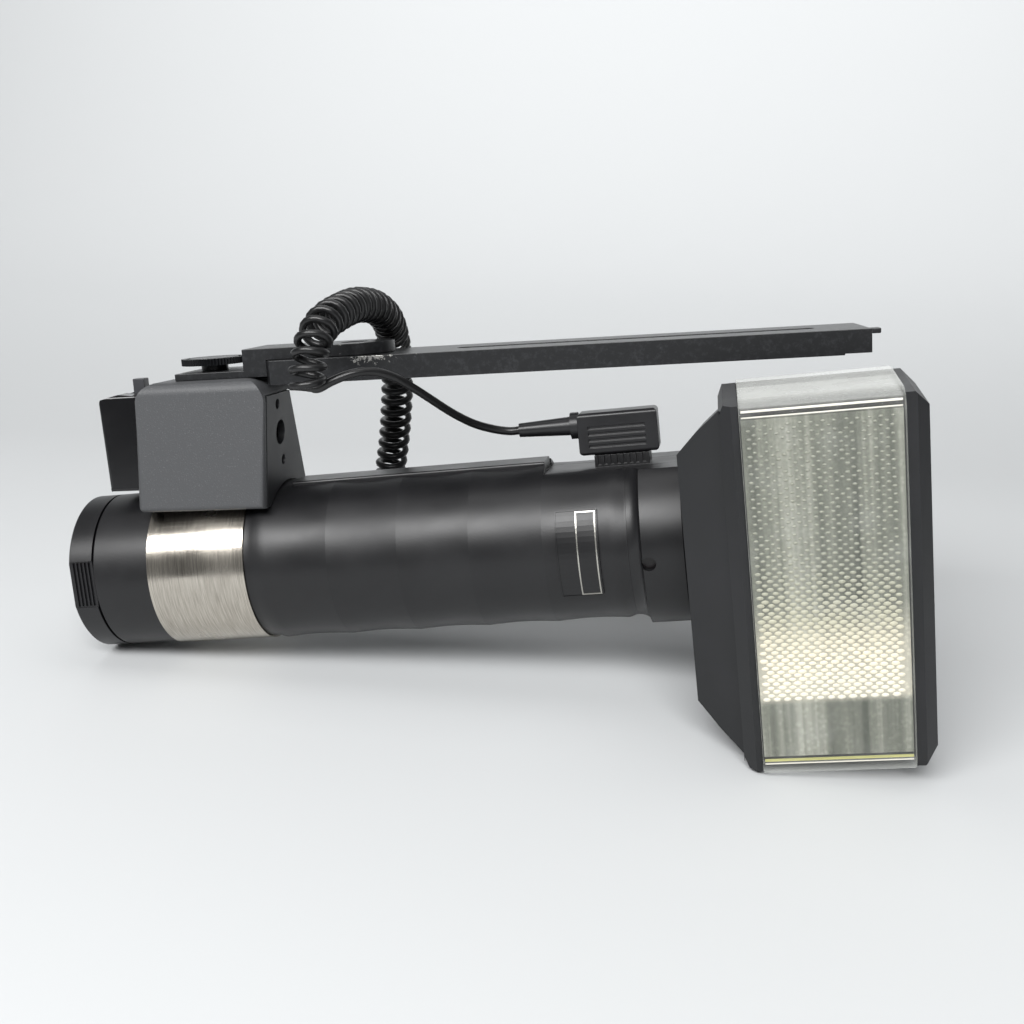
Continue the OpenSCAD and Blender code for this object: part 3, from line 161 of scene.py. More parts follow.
class Coat:
    """The nodes of one material while it is being made."""

    def __init__(self, finish: "Finish") -> None:
        """Makes the empty material with its shader.

        Args:
            finish: gives the name, colour, roughness and metal of the shader.
        """
        self.made = bpy.data.materials.new(finish.name)
        self.made.use_nodes = True
        self.tree = self.made.node_tree
        self.tree.nodes.clear()
        out = add(self.tree, "ShaderNodeOutputMaterial")
        self.shader = add(self.tree, "ShaderNodeBsdfPrincipled", Base_Color=finish.colour,
                          Roughness=finish.roughness, Metallic=finish.metallic)
        self.tree.links.new(self.shader.outputs[0], out.inputs["Surface"])
        self.place = add(self.tree, "ShaderNodeTexCoord").outputs["Object"]

    def noise(self, scale: float, detail: float, rough: float = 0.5,
              at: bpy.types.NodeSocket | None = None) -> bpy.types.NodeSocket:
        """Adds a noise.

        Args:
            scale: spots per metre.
            detail: how many finer layers it has.
            rough: how strong the finer layers are.
            at: the place it is read at, or None for the place on the piece.

        Returns:
            The noise's value.
        """
        return add(self.tree, "ShaderNodeTexNoise", Vector=at or self.place, Scale=scale, Detail=detail,
                   Roughness=rough).outputs[0]

    def pebbles(self, scale: float) -> bpy.types.NodeSocket:
        """Adds cells, so many to a metre, and returns the distance to each cell's middle."""
        return add(self.tree, "ShaderNodeTexVoronoi", Vector=self.place, Scale=scale).outputs["Distance"]

    def ranged(self, source: bpy.types.NodeSocket, low: float, high: float, to_low: float = 0.0,
               to_high: float = 1.0) -> bpy.types.NodeSocket:
        """Maps a value so that low gives to_low and high gives to_high, and keeps it between them."""
        node = add(self.tree, "ShaderNodeMapRange", n0=source, n1=low, n2=high, n3=to_low, n4=to_high)
        return node.outputs[0]

    def maths(self, operation: str, first: object, second: object) -> bpy.types.NodeSocket:
        """Adds, subtracts or multiplies two values or sockets."""
        return add(self.tree, "ShaderNodeMath", {"operation": operation}, n0=first, n1=second).outputs[0]

    def mix(self, amount: object, first: object, second: object, kind: str = "MIX") -> bpy.types.NodeSocket:
        """Mixes two colours, each a hex code or a socket, by an amount."""
        settings = {"data_type": "RGBA", "blend_type": kind}
        return add(self.tree, "ShaderNodeMix", settings, n0=amount, n6=first, n7=second).outputs[2]

    def ramp(self, source: bpy.types.NodeSocket,
             stops: tuple[tuple[float, str], ...]) -> bpy.types.NodeSocket:
        """Colours a value by stops, given as place and hex colour in rising order."""
        node = add(self.tree, "ShaderNodeValToRGB", Fac=source)
        elements = node.color_ramp.elements
        for end, (at, code) in ((0, stops[0]), (1, stops[-1])):
            elements[end].position = at
            elements[end].color = linear(code)
        for at, code in stops[1:-1]:
            elements.new(at).color = linear(code)
        return node.outputs[0]

    def within(self, frame: Matrix) -> bpy.types.NodeSocket:
        """Returns the place on the piece, in metres along the axes of a frame."""
        return add(self.tree, "ShaderNodeMapping", {"vector_type": "TEXTURE"}, Vector=self.place,
                   Location=frame.to_translation(), Rotation=frame.to_euler()).outputs[0]

    def stretched(self, at: bpy.types.NodeSocket, scale: tuple[float, float, float]) -> bpy.types.NodeSocket:
        """Returns a place scaled along each axis, for lines and streaks."""
        return add(self.tree, "ShaderNodeMapping", Vector=at, Scale=scale).outputs[0]

    def axes(self, at: bpy.types.NodeSocket) -> bpy.types.Node:
        """Splits a place into its three axes."""
        return add(self.tree, "ShaderNodeSeparateXYZ", Vector=at)

    def into(self, name: str, source: bpy.types.NodeSocket) -> None:
        """Feeds one input of the shader."""
        self.tree.links.new(source, self.shader.inputs[name])

    def bump(self, height: bpy.types.NodeSocket, strength: float, depth_mm: float,
             inward: bool = False) -> None:
        """Gives the surface a fine relief, raised by height or sunk by it."""
        node = add(self.tree, "ShaderNodeBump", {"invert": inward}, Height=height, Strength=strength,
                   Distance=depth_mm * MM)
        self.into("Normal", node.outputs[0])


@dataclass(frozen=True)
class Finish:
    """A material, named for what the real one is and how its surface was made."""

    name: str
    colour: str
    roughness: float
    metallic: float = 0.0

    def material(self) -> bpy.types.Material:
        """Returns the finished material, made once."""
        found = bpy.data.materials.get(self.name)
        if found:
            return found
        coat = Coat(self)
        self.dress(coat)
        return coat.made

    def dress(self, coat: Coat) -> None:
        """Leaves the material plain; the kinds below add their pattern."""


@dataclass(frozen=True)
class Moulded(Finish):
    """Moulded or cast stuff: a fine grain, and clouds about 18 mm wide from handling."""

    grain_mm: float = 0.35
    depth_mm: float = 0.02
    tone: str = "303033"
    cloud_scale: float = 55.0

    def dress(self, coat: Coat) -> None:
        """Adds the grain, the cloudy tone and the uneven gloss."""
        grain = coat.noise(1 / (self.grain_mm * MM), 2.0)
        cloud = coat.noise(self.cloud_scale, 4.0)
        coat.into("Base Color", coat.mix(coat.ranged(cloud, 0.42, 0.72, 0.0, 0.8), self.colour, self.tone))
        coat.into("Roughness", coat.ranged(cloud, 0.3, 0.7, self.roughness - 0.05, self.roughness + 0.07))
        coat.bump(grain, 0.5, self.depth_mm)


@dataclass(frozen=True)
class Grained(Finish):
    """Leather-grained cover plastic: pebbles about half a millimetre wide with pale rubbed tops."""

    pebble_mm: float = 0.55
    speck_scale: float = 2600.0
    rubbed: str = "626365"

    def dress(self, coat: Coat) -> None:
        """Adds the pebbles and the light specks on their tops."""
        top = coat.ranged(coat.pebbles(1 / (self.pebble_mm * MM)), 0.0, 0.5, 1.0, 0.0)
        speck = coat.ranged(coat.noise(self.speck_scale, 3.0), 0.5, 0.68)
        coat.into("Base Color", coat.mix(coat.maths("MULTIPLY", top, speck), self.colour, self.rubbed))
        coat.bump(top, 0.7, 0.05)


@dataclass(frozen=True)
class Brushed(Finish):
    """Brushed stainless steel: hair lines about a tenth of a millimetre wide, round the band."""

    dark: str = "8f8980"
    light: str = "d3cdc2"
    line_scale: tuple[float, float, float] = (9000.0, 160.0, 160.0)

    def dress(self, coat: Coat) -> None:
        """Adds the hair lines and the uneven gloss of handled steel."""
        lines = coat.noise(1.0, 3.0, at=coat.stretched(coat.within(LIE.handle()), self.line_scale))
        broad = coat.noise(60.0, 4.0)
        coat.into("Base Color", coat.mix(coat.ranged(lines, 0.25, 0.7), self.dark, self.light))
        coat.into("Roughness", coat.ranged(broad, 0.3, 0.7, self.roughness - 0.06, self.roughness + 0.1))
        coat.bump(lines, 0.35, 0.01)


@dataclass(frozen=True)
class WornPaint(Finish):
    """Black stove enamel on light metal: rubbed bare in chips along the rail's upper front edge."""

    edge_y: float = -15.6
    edge_z: float = 61.1
    reach_mm: float = 5.5
    scuffed: str = "3c3d40"
    bare: str = "b9b8b4"

    def dress(self, coat: Coat) -> None:
        """Adds bare chips near the edge and grey scuffs all over."""
        axes = coat.axes(coat.within(LIE.arm()))
        from_front = coat.maths("SUBTRACT", axes.outputs[1], self.edge_y * MM)
        from_top = coat.maths("SUBTRACT", self.edge_z * MM, axes.outputs[2])
        near = coat.ranged(coat.maths("ADD", from_front, from_top), 0.0, self.reach_mm * MM, 0.36, 0.0)
        speck = coat.noise(620.0, 7.0, 0.75)
        worn = coat.ranged(coat.noise(45.0, 2.0), 0.45, 0.66, 0.0, 0.9)
        total = coat.maths("ADD", coat.maths("MULTIPLY", near, worn), speck)
        chip = coat.ranged(total, 0.76, 0.8)
        paint = coat.mix(coat.ranged(speck, 0.5, 0.75, 0.0, 0.6), self.colour, self.scuffed)
        coat.into("Base Color", coat.mix(chip, paint, self.bare))
        coat.into("Metallic", chip)
        coat.bump(chip, 0.3, 0.03, inward=True)


@dataclass(frozen=True)
class Clear(Finish):
    """Clear moulded acrylic: seen through from the front; the pale colour it shows edge on is painted
    reflection.
    """

    face: float = 0.04
    edge: float = 0.62
    dust: float = 0.06

    def dress(self, coat: Coat) -> None:
        """Makes the plastic more solid where it is seen edge on, so its pale colour there stands as painted
        reflection, and adds faint dust.
        """
        coat.shader.inputs["IOR"].default_value = 1.49
        facing = add(coat.tree, "ShaderNodeLayerWeight", Blend=0.35).outputs["Facing"]
        # Painted reflection: the pale base colour shows more where the surface is seen edge on
        solid = coat.ranged(facing, 0.15, 0.9, self.face, self.edge)
        dusty = coat.ranged(coat.noise(120.0, 5.0), 0.5, 0.75, 0.0, self.dust)
        coat.into("Alpha", coat.maths("ADD", solid, dusty))


@dataclass(frozen=True)
class Streaked(Finish):
    """Ribbed clear plastic over a bright reflector: greenish grey with upright light and dark streaks, and a
    warm band of painted light low on the plate.
    """

    tall: tuple[float, float, float] = (210.0, 4.0, 4.0)
    half_mm: float = 48.0
    mottle_scale: float = 780.0
    # warm and glow give the colour and the height stops of the painted light low on the plate
    warm: str = "efe9d6"
    body: tuple[tuple[float, str], ...] = ((0.0, "4f5348"), (0.5, "7f8275"), (1.0, "b9baad"))
    glow: tuple[tuple[float, float], ...] = ((0.19, 0.0), (0.21, 0.75), (0.34, 0.6), (0.47, 0.0))

    def dress(self, coat: Coat) -> None:
        """Adds the streaks, the painted band of warm light low on the plate and a fine mottle."""
        local = coat.within(LIE.handle())
        streak = coat.noise(1.0, 3.0, 0.6, at=coat.stretched(local, self.tall))
        body = coat.ramp(coat.ranged(streak, 0.33, 0.68), self.body)
        height = coat.ranged(coat.axes(local).outputs[2], -self.half_mm * MM, self.half_mm * MM)
        mottle = coat.pebbles(self.mottle_scale)
        # Painted light: the warm colour is mixed in by height
        lit = coat.mix(self.painted_light_band(coat, height), body, self.warm)
        spot = coat.ranged(mottle, 0.0, 0.55, 1.1, 0.8)
        coat.into("Base Color", coat.mix(1.0, lit, spot, "MULTIPLY"))
        coat.bump(mottle, 0.4, 0.05)

    def painted_light_band(self, coat: Coat, height: bpy.types.NodeSocket) -> bpy.types.NodeSocket:
        """Returns how much painted light the plate gets at a height, from the stops in glow."""
        ramp = add(coat.tree, "ShaderNodeValToRGB", Fac=height)
        elements = ramp.color_ramp.elements
        elements[0].position, elements[1].position = self.glow[0][0], self.glow[-1][0]
        elements[1].color = (0, 0, 0, 1)
        for at, grey in self.glow[1:-1]:
            elements.new(at).color = (grey, grey, grey, 1)
        return ramp.outputs[0]


@dataclass(frozen=True)
class LensDots(Finish):
    """Small cast lenses with painted light: warm white low on the plate, fading to faint grey-green above."""

    low_mm: float = -30.0
    high_mm: float = 46.0
    # Painted light: warm white where the plate is lit, grey-green above
    stops: tuple[tuple[float, str], ...] = (
        (0.0, "fff9e8"), (0.17, "fff6df"), (0.3, "ccc9b3"), (0.5, "a5a696"), (1.0, "8f9184"))

    def dress(self, coat: Coat) -> None:
        """Paints light on the lenses by their height on the plate, brightest low down."""
        height = coat.axes(coat.within(LIE.handle())).outputs[2]
        part = coat.ranged(height, self.low_mm * MM, self.high_mm * MM)
        coat.into("Base Color", coat.ramp(part, self.stops))


# Near-black satin with one long soft highlight down the handle
GRIP = Moulded("abs_satin_moulded", "111113", 0.38, grain_mm=0.4, depth_mm=0.03, tone="1a1a1c")
# A shade smoother and blacker, so the collar and strip part from the handle
COLLAR = Moulded("abs_smooth_moulded", "0f0f11", 0.36, grain_mm=0.25, depth_mm=0.012, tone="171719")
# Soft dark grey sheen on the flat walls of the head
SHELL = Moulded("polycarbonate_fine_grain", "141517", 0.42, grain_mm=0.3, depth_mm=0.02, tone="1e1e21")
# Black between the handle's and the collar's, worn smooth by hands
CAP = Moulded("abs_cap_moulded", "121214", 0.38, grain_mm=0.3, depth_mm=0.015, tone="1b1b1e")
# The one clearly grey black, with a leather grain and pale specks
COVER = Grained("abs_leather_grain", "47484a", 0.5)
# Deep polished black with sharp reflections
LEVER = Moulded("abs_polished_black", "0d0d0f", 0.18, grain_mm=0.9, depth_mm=0.004, tone="151517")
# Bright streaky steel, near white where it faces the light
STEEL = Brushed("stainless_brushed", "b8b2a8", 0.19, metallic=1.0)
# Old black paint with silver chips on the edge that rubs
ENAMEL = WornPaint("enamel_worn_black", "161719", 0.36)
# Even, slightly orange-peeled paint on the pierced plate
PLATE = Moulded("steel_painted_plate", "1d1e20", 0.4, grain_mm=0.5, depth_mm=0.02, tone="2a2b2e")
# Hard black that glints on each tooth of the knurl
KNOB = Moulded("aluminium_black_knurled", "131416", 0.3, metallic=0.4, grain_mm=0.3, depth_mm=0.01,
               tone="232427")
# Slightly oily black with a thin highlight on each curl
RUBBER = Moulded("pvc_cord_black", "121213", 0.34, grain_mm=0.5, depth_mm=0.01, tone="1b1b1c")
# Fine-grained black whose ribs catch the light
PLUG = Moulded("abs_plug_black", "161618", 0.35, grain_mm=0.35, depth_mm=0.02, tone="212124")
# Almost unseen in front, with a whitish band of painted reflection along the top
WINDOW = Clear("acrylic_clear", "e2e4df", 0.08)
# Grey-green streaks behind the window, with painted warm light low down
STREAKS = Streaked("acrylic_ribbed_plate_painted_light", "9a9c90", 0.35)
# Rows of small lenses painted almost white as glints in the painted bright zone
DOTS = LensDots("acrylic_cast_lenses_painted_light", "f4efdc", 0.22)
# Painted highlights: white lines where the window is bent
PAINTED_EDGE_HIGHLIGHT = Moulded("acrylic_edge_painted_highlight", "ece9de", 0.25, grain_mm=0.6, depth_mm=0.01, tone="dcd9cc")
# The aged, yellowish line at the window's foot
EDGE_YELLOW = Moulded("acrylic_yellow_edge", "c2c07c", 0.3, grain_mm=0.6, depth_mm=0.01, tone="b4b16b")
# Small cold glints on plug and pins
CHROME = Moulded("brass_chromed", "a9a9a5", 0.2, metallic=1.0, grain_mm=0.5, depth_mm=0.004, tone="8c8c88")
# A thin silver frame on the bare nameplate
SILVER_LINE = Moulded("aluminium_anodised_line", "b9b7b0", 0.28, metallic=0.9, grain_mm=0.4, depth_mm=0.006,
                      tone="8f8d88")
# Rough dark casting in the shadow behind the cover
DARK_CAST = Moulded("zinc_cast_dark", "232427", 0.42, metallic=0.3, grain_mm=0.6, depth_mm=0.03,
                    tone="333437")
# Bright mirror that lightens the panel from behind
MIRROR = Moulded("aluminium_bright_rolled", "d5d6d2", 0.15, metallic=1.0, grain_mm=0.8, depth_mm=0.01,
                 tone="bfc0bc")
# Plain blue-grey steel of unprinted cells
CELL = Moulded("steel_cell_jacket", "9fa3a8", 0.3, metallic=0.9, grain_mm=0.6, depth_mm=0.01, tone="858a90")
# Lacquered green of a circuit board
BOARD = Moulded("laminate_lacquered", "1d4a2c", 0.35, grain_mm=0.5, depth_mm=0.02, tone="28583a")
# Yellow metal of sprung contacts
SPRING = Moulded("bronze_sprung", "a58f55", 0.3, metallic=1.0, grain_mm=0.4, depth_mm=0.01, tone="8c7844")
# Dark blue sleeve of the large capacitor
CAN = Moulded("pvc_sleeved_can", "27364f", 0.35, grain_mm=0.6, depth_mm=0.01, tone="324362")
# A round hole that stays black from every side
SENSOR = Moulded("acrylic_dark_sensor", "0a0507", 0.4, grain_mm=0.9, depth_mm=0.004, tone="10070b")
# Glossy orange of an unlit lamp
LAMP = Moulded("acrylic_orange_lens", "b4471c", 0.12, grain_mm=0.8, depth_mm=0.005, tone="c75a2a")
# Mid grey, so that keys and dial stand out from the black
GREY_KEY = Moulded("abs_grey_key", "38393c", 0.36, grain_mm=0.35, depth_mm=0.02, tone="46474a")
# Dull metal of screw heads and the lap pin
SCREW = Moulded("steel_blackened", "26262a", 0.3, metallic=0.8, grain_mm=0.4, depth_mm=0.01, tone="37373b")
# Flat off-white print on the dial
MARKS = Moulded("ink_white_printed", "d9d9d4", 0.5, grain_mm=0.3, depth_mm=0.004, tone="cfcfc9")


# Tools for pieces


class Bench:
    """Makes and finishes pieces with Blender's own operators."""

    merge_at = 2e-6
    flat_degrees = 0.6
    least_edge_mm = 4.0
    round_turns = (20.0, 120.0)
    bevel_segments = 2
    round_segments = 4

    def __init__(self, frame: dict) -> None:
        """Keeps the loaded frame.
        """
        self.frame = frame

    @staticmethod
    def only(piece: bpy.types.Object) -> None:
        """Selects one piece and nothing else."""
        bpy.ops.object.select_all(action="DESELECT")
        piece.select_set(True)
        bpy.context.view_layer.objects.active = piece

    def bevel(self, piece: bpy.types.Object, width_mm: float, angle: float = 30) -> None:
        """Rounds the sharp edges of a piece.

        Args:
            piece: the piece, with its place in its mesh.
            width_mm: how wide each rounded edge is.
            angle: edges sharper than this many degrees are rounded.
        """
        self.only(piece)
        edge = piece.modifiers.new("edge", "BEVEL")
        edge.width = width_mm * MM
        edge.segments = self.bevel_segments
        edge.limit_method = "ANGLE"
        edge.angle_limit = math.radians(angle)
        bpy.ops.object.modifier_apply(modifier=edge.name)

    def pick(self, piece: bpy.types.Object, test: Callable[[bpy.types.MeshEdge], bool]) -> None:
        """Selects the edges of a piece that pass a test, and no others.

        Args:
            piece: the piece, in object mode.
            test: takes an edge of its mesh and says whether it is wanted.
        """
        self.only(piece)
        bpy.ops.object.mode_set(mode="EDIT")
        bpy.ops.mesh.select_mode(type="EDGE")
        bpy.ops.mesh.select_all(action="DESELECT")
        bpy.ops.object.mode_set(mode="OBJECT")
        for edge in piece.data.edges:
            edge.select = bool(test(edge))

    def round_off(self, piece: bpy.types.Object, width_mm: float) -> None:
        """Rounds a piece's long outward edges well, and leaves its small ones.

        Args:
            piece: the piece.
            width_mm: how wide each rounded edge is.
        """
        data = piece.data
        sides = {}
        for face in data.polygons:
            for key in face.edge_keys:
                sides.setdefault(key, []).append(face)
        middle = sum((v.co for v in data.vertices), Vector()) / len(data.vertices)
        least, most = self.round_turns

        def wanted(edge: bpy.types.MeshEdge) -> bool:
            """Says whether an edge is long, outward and sharp enough."""
            faces = sides[edge.key]
            a, b = (data.vertices[v].co for v in edge.vertices)
            if len(faces) != 2 or (a - b).length < self.least_edge_mm * MM:
                return False
            one, two = faces
            out = (a + b) / 2 - middle
            convex = (two.center - one.center).dot(one.normal) < 0
            outward = one.normal.dot(out) > 0 and two.normal.dot(out) > 0
            return convex and outward and least < math.degrees(one.normal.angle(two.normal, 0.0)) < most

        self.pick(piece, wanted)
        bpy.ops.object.mode_set(mode="EDIT")
        bpy.ops.mesh.bevel(offset=width_mm * MM, offset_type="OFFSET", segments=self.round_segments,
                           clamp_overlap=False)
        bpy.ops.object.mode_set(mode="OBJECT")

    def softened(self, node: str, finish: Finish, body: str, width_mm: float = 0.0, angle: float = 32,
                 round_mm: float = 0.0) -> bpy.types.Object:
        """Takes a copy of a CAD node, merges it and rounds its edges, and puts it in the node's place.

        Args:
            node: the CAD node's name.
            finish: the material of the piece.
            body: the body that it rides on.
            width_mm: width of the rounded edges, or 0 for smooth shading alone.
            angle: edges sharper than this many degrees stay edges.
            round_mm: width of the well rounded long outward edges, or 0 for none.

        Returns:
            The new piece.
        """
        source = self.frame["nodes"][node]
        piece = bpy.data.objects.new(node + "_dressed", source.data.copy())
        bpy.context.scene.collection.objects.link(piece)
        piece.data.materials.clear()
        self.only(piece)
        bpy.ops.object.mode_set(mode="EDIT")
        bpy.ops.mesh.select_all(action="SELECT")
        bpy.ops.mesh.remove_doubles(threshold=self.merge_at)
        if width_mm or round_mm:
            bpy.ops.mesh.dissolve_limited(angle_limit=math.radians(self.flat_degrees))
        if piece.data.has_custom_normals:
            bpy.ops.mesh.customdata_custom_splitnormals_clear()
        bpy.ops.object.mode_set(mode="OBJECT")
        if round_mm:
            self.round_off(piece, round_mm)
        if width_mm:
            self.bevel(piece, width_mm, angle)
        self.only(piece)
        bpy.ops.object.shade_smooth_by_angle(angle=math.radians(angle))
        if width_mm or round_mm:
            # Keeps wide flat faces evenly shaded beside their rounded edges
            even = piece.modifiers.new("even", "WEIGHTED_NORMAL")
            even.keep_sharp = True
            bpy.ops.object.modifier_apply(modifier=even.name)
        self.finish(piece, finish, body)
        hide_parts(node)
        return piece

    def finish(self, piece: bpy.types.Object, finish: Finish, body: str) -> None:
        """Dresses a piece and lets it ride on its body."""
        piece.data.materials.clear()
        piece.data.materials.append(finish.material())
        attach(piece, body)
        LOG.info("%s: %s on %s", piece.name, finish.name, body)

    def place(self, piece: bpy.types.Object, frame: Matrix) -> None:
        """Moves a piece drawn in millimetres into the row frame, with its place in its mesh."""
        piece.data.transform(frame @ piece.matrix_world)
        piece.matrix_world = Matrix.Identity(4)

    def bar(self, name: str, low: Point, high: Point) -> bpy.types.Object:
        """Adds a box from its low to its high corner, in the millimetres of its frame.

        Args:
            name: the piece's name.
            low: the low corner.
            high: the high corner.

        Returns:
            The box, selected and active.
        """
        bpy.ops.object.select_all(action="DESELECT")
        middle = [(a + b) / 2 for a, b in zip(low, high)]
        bpy.ops.mesh.primitive_cube_add(size=1, location=middle)
        piece = bpy.context.object
        piece.name = name
        piece.scale = [b - a for a, b in zip(low, high)]
        bpy.ops.object.transform_apply(location=True, scale=True)
        return piece

    def joined(self, pieces: list[bpy.types.Object], name: str) -> bpy.types.Object:
        """Joins pieces into one and names it."""
        bpy.ops.object.select_all(action="DESELECT")
        for piece in pieces:
            piece.select_set(True)
        bpy.context.view_layer.objects.active = pieces[0]
        bpy.ops.object.join()
        joined = bpy.context.object
        joined.name = name
        return joined

    def repaint(self, node: str, finish: Finish) -> None:
        """Gives a CAD node that stays as it is a better material."""
        data = self.frame["nodes"][node].data
        data.materials.clear()
        data.materials.append(finish.material())


# Sub-assemblies


@dataclass
class Grip:
    """The battery handle: shell, collar, cap, band, strip, bare nameplate and what is inside."""

    bench: Bench
    radius: float = 23.8
    plate_low: tuple[float, float] = (145.0, -9.6)
    plate_high: tuple[float, float] = (156.6, 15.6)
    plate_seat: float = 0.6
    plate_rise: float = 0.12
    label_left: float = 5.6
    label_inset: float = 0.5
    rim_wide: float = 0.3
    rim_rise: float = 0.3
    line_wide: float = 0.36
    line_rise: float = 0.26
    bend_step: float = 1.5
    ridge_u: tuple[float, ...] = (79.4, 100.0, 120.6, 141.2)
    ridge_near: float = 0.15
    ridge_angle: float = 32

    def build(self) -> None:
        """Dresses the handle's nodes and adds the nameplate."""
        b = self.bench
        self.ridges(b.softened("handle_shell", GRIP, "handle"))
        b.softened("sensor_collar", COLLAR, "handle")
        b.softened("battery_cap", CAP, "cap", 0.25)
        b.softened("clamp_band", STEEL, "handle")
        b.softened("side_strip", COLLAR, "handle", 0.3)
        b.softened("socket_panel", COLLAR, "handle", 0.15)
        b.softened("battery_basket", CAP, "magazine")
        b.softened("battery_cells", CELL, "magazine")
        for node, finish in (("photo_sensor", SENSOR), ("contact_springs", SPRING),
                             ("main_capacitor", CAN), ("handle_board", BOARD)):
            b.repaint(node, finish)
        self.nameplate()

    def wrapped(self, piece: bpy.types.Object) -> None:
        """Wraps a flat plate drawn in x and z onto the round grip; y is its height above it."""
        for vertex in piece.data.vertices:
            x, rise, across = vertex.co
            turn = across / self.radius
            reach = self.radius + rise
            vertex.co = (x, -reach * math.cos(turn), reach * math.sin(turn))
        self.bench.place(piece, LIE.handle())

    def slab(self, name: str, low: tuple[float, float], high: tuple[float, float], top: float,
             finish: Finish) -> None:
        """Adds a thin slab that follows the round of the grip.

        Args:
            name: the piece's name.
            low: its low corner along and across the handle.
            high: its high corner.
            top: height of its face above the grip.
            finish: its material.
        """
        steps = max(2, round((high[1] - low[1]) / self.bend_step))
        middle = ((low[0] + high[0]) / 2, -self.plate_seat, (low[1] + high[1]) / 2)
        bpy.ops.object.select_all(action="DESELECT")
        bpy.ops.mesh.primitive_grid_add(x_subdivisions=1, y_subdivisions=steps, size=1, location=middle,
                                        rotation=(math.pi / 2, 0, 0))
        piece = bpy.context.object
        piece.name = name
        piece.scale = (high[0] - low[0], high[1] - low[1], 1)
        bpy.ops.object.transform_apply(location=True, rotation=True, scale=True)
        bpy.ops.object.mode_set(mode="EDIT")
        bpy.ops.mesh.select_all(action="SELECT")
        bpy.ops.mesh.extrude_region_move(TRANSFORM_OT_translate={"value": (0, top + self.plate_seat, 0)})
        bpy.ops.object.mode_set(mode="OBJECT")
        self.wrapped(piece)
        self.recalculate(piece)
        self.bench.finish(piece, finish, "handle")

    def recalculate(self, piece: bpy.types.Object) -> None:
        """Turns a wrapped piece's faces outwards."""
        self.bench.only(piece)
        bpy.ops.object.mode_set(mode="EDIT")
        bpy.ops.mesh.select_all(action="SELECT")
        bpy.ops.mesh.normals_make_consistent(inside=False)
        bpy.ops.object.mode_set(mode="OBJECT")

    def frame_lines(self, name: str, low: tuple[float, float], high: tuple[float, float], wide: float,
                    top: float, finish: Finish) -> None:
        """Adds four slabs that frame a field of the plate.

        Args:
            name: start of the four names.
            low: low outer corner of the frame.
            high: high outer corner of the frame.
            wide: width of its lines.
            top: height of the lines above the grip.
            finish: their material.
        """
        self.slab(name + "_left", low, (low[0] + wide, high[1]), top, finish)
        self.slab(name + "_right", (high[0] - wide, low[1]), high, top, finish)
        self.slab(name + "_low", (low[0] + wide, low[1]), (high[0] - wide, low[1] + wide), top, finish)
        self.slab(name + "_high", (low[0] + wide, high[1] - wide), (high[0] - wide, high[1]), top, finish)

    def nameplate(self) -> None:
        """Adds the plate that carries a name on the real one, left bare here."""
        low, high = self.plate_low, self.plate_high
        inset = self.label_inset
        self.slab("plate_base", low, high, self.plate_rise, COLLAR)
        self.frame_lines("plate_rim", low, high, self.rim_wide, self.rim_rise, COLLAR)
        self.frame_lines("plate_silver", (low[0] + self.label_left, low[1] + inset),
                         (high[0] - inset, high[1] - inset), self.line_wide, self.line_rise, SILVER_LINE)

    def ridges(self, piece: bpy.types.Object) -> None:
        """Keeps the ridges between the finger hollows sharp where the smooth shading would lose them.

        Args:
            piece: the dressed handle shell.
        """
        back = LIE.handle().inverted()
        along = [(back @ vertex.co).x for vertex in piece.data.vertices]
        self.bench.pick(piece, lambda edge: any(
            all(abs(along[v] - ridge) < self.ridge_near for v in edge.vertices) for ridge in self.ridge_u))
        bpy.ops.object.mode_set(mode="EDIT")
        bpy.ops.mesh.mark_sharp()
        bpy.ops.object.mode_set(mode="OBJECT")
        bpy.ops.object.shade_smooth_by_angle(angle=math.radians(self.ridge_angle), keep_sharp_edges=True)


@dataclass
class Bracket:
    """The clamped block with its lever, knob, arm and camera rail."""

    bench: Bench

    def build(self) -> None:
        """Dresses the bracket's nodes."""
        b = self.bench
        b.softened("block_cover", COVER, "handle", angle=40, round_mm=1.7)
        b.softened("side_plate", PLATE, "handle", 0.15)
        b.softened("release_lever", LEVER, "lever", 0.2, round_mm=1.0)
        b.softened("lock_button", GREY_KEY, "lock", 0.3)
        b.softened("lever_bracket", DARK_CAST, "handle", 0.2)
        b.softened("clamp_knob", KNOB, "knob")
        b.softened("bracket_arm", ENAMEL, "handle", 0.3)
        b.softened("camera_rail", ENAMEL, "handle", 0.35)
        b.softened("rail_stop", ENAMEL, "handle", 0.3)
        b.softened("clamp_saddle", DARK_CAST, "handle")
        b.repaint("lap_pin", SCREW)
        b.repaint("lever_pin", CHROME)


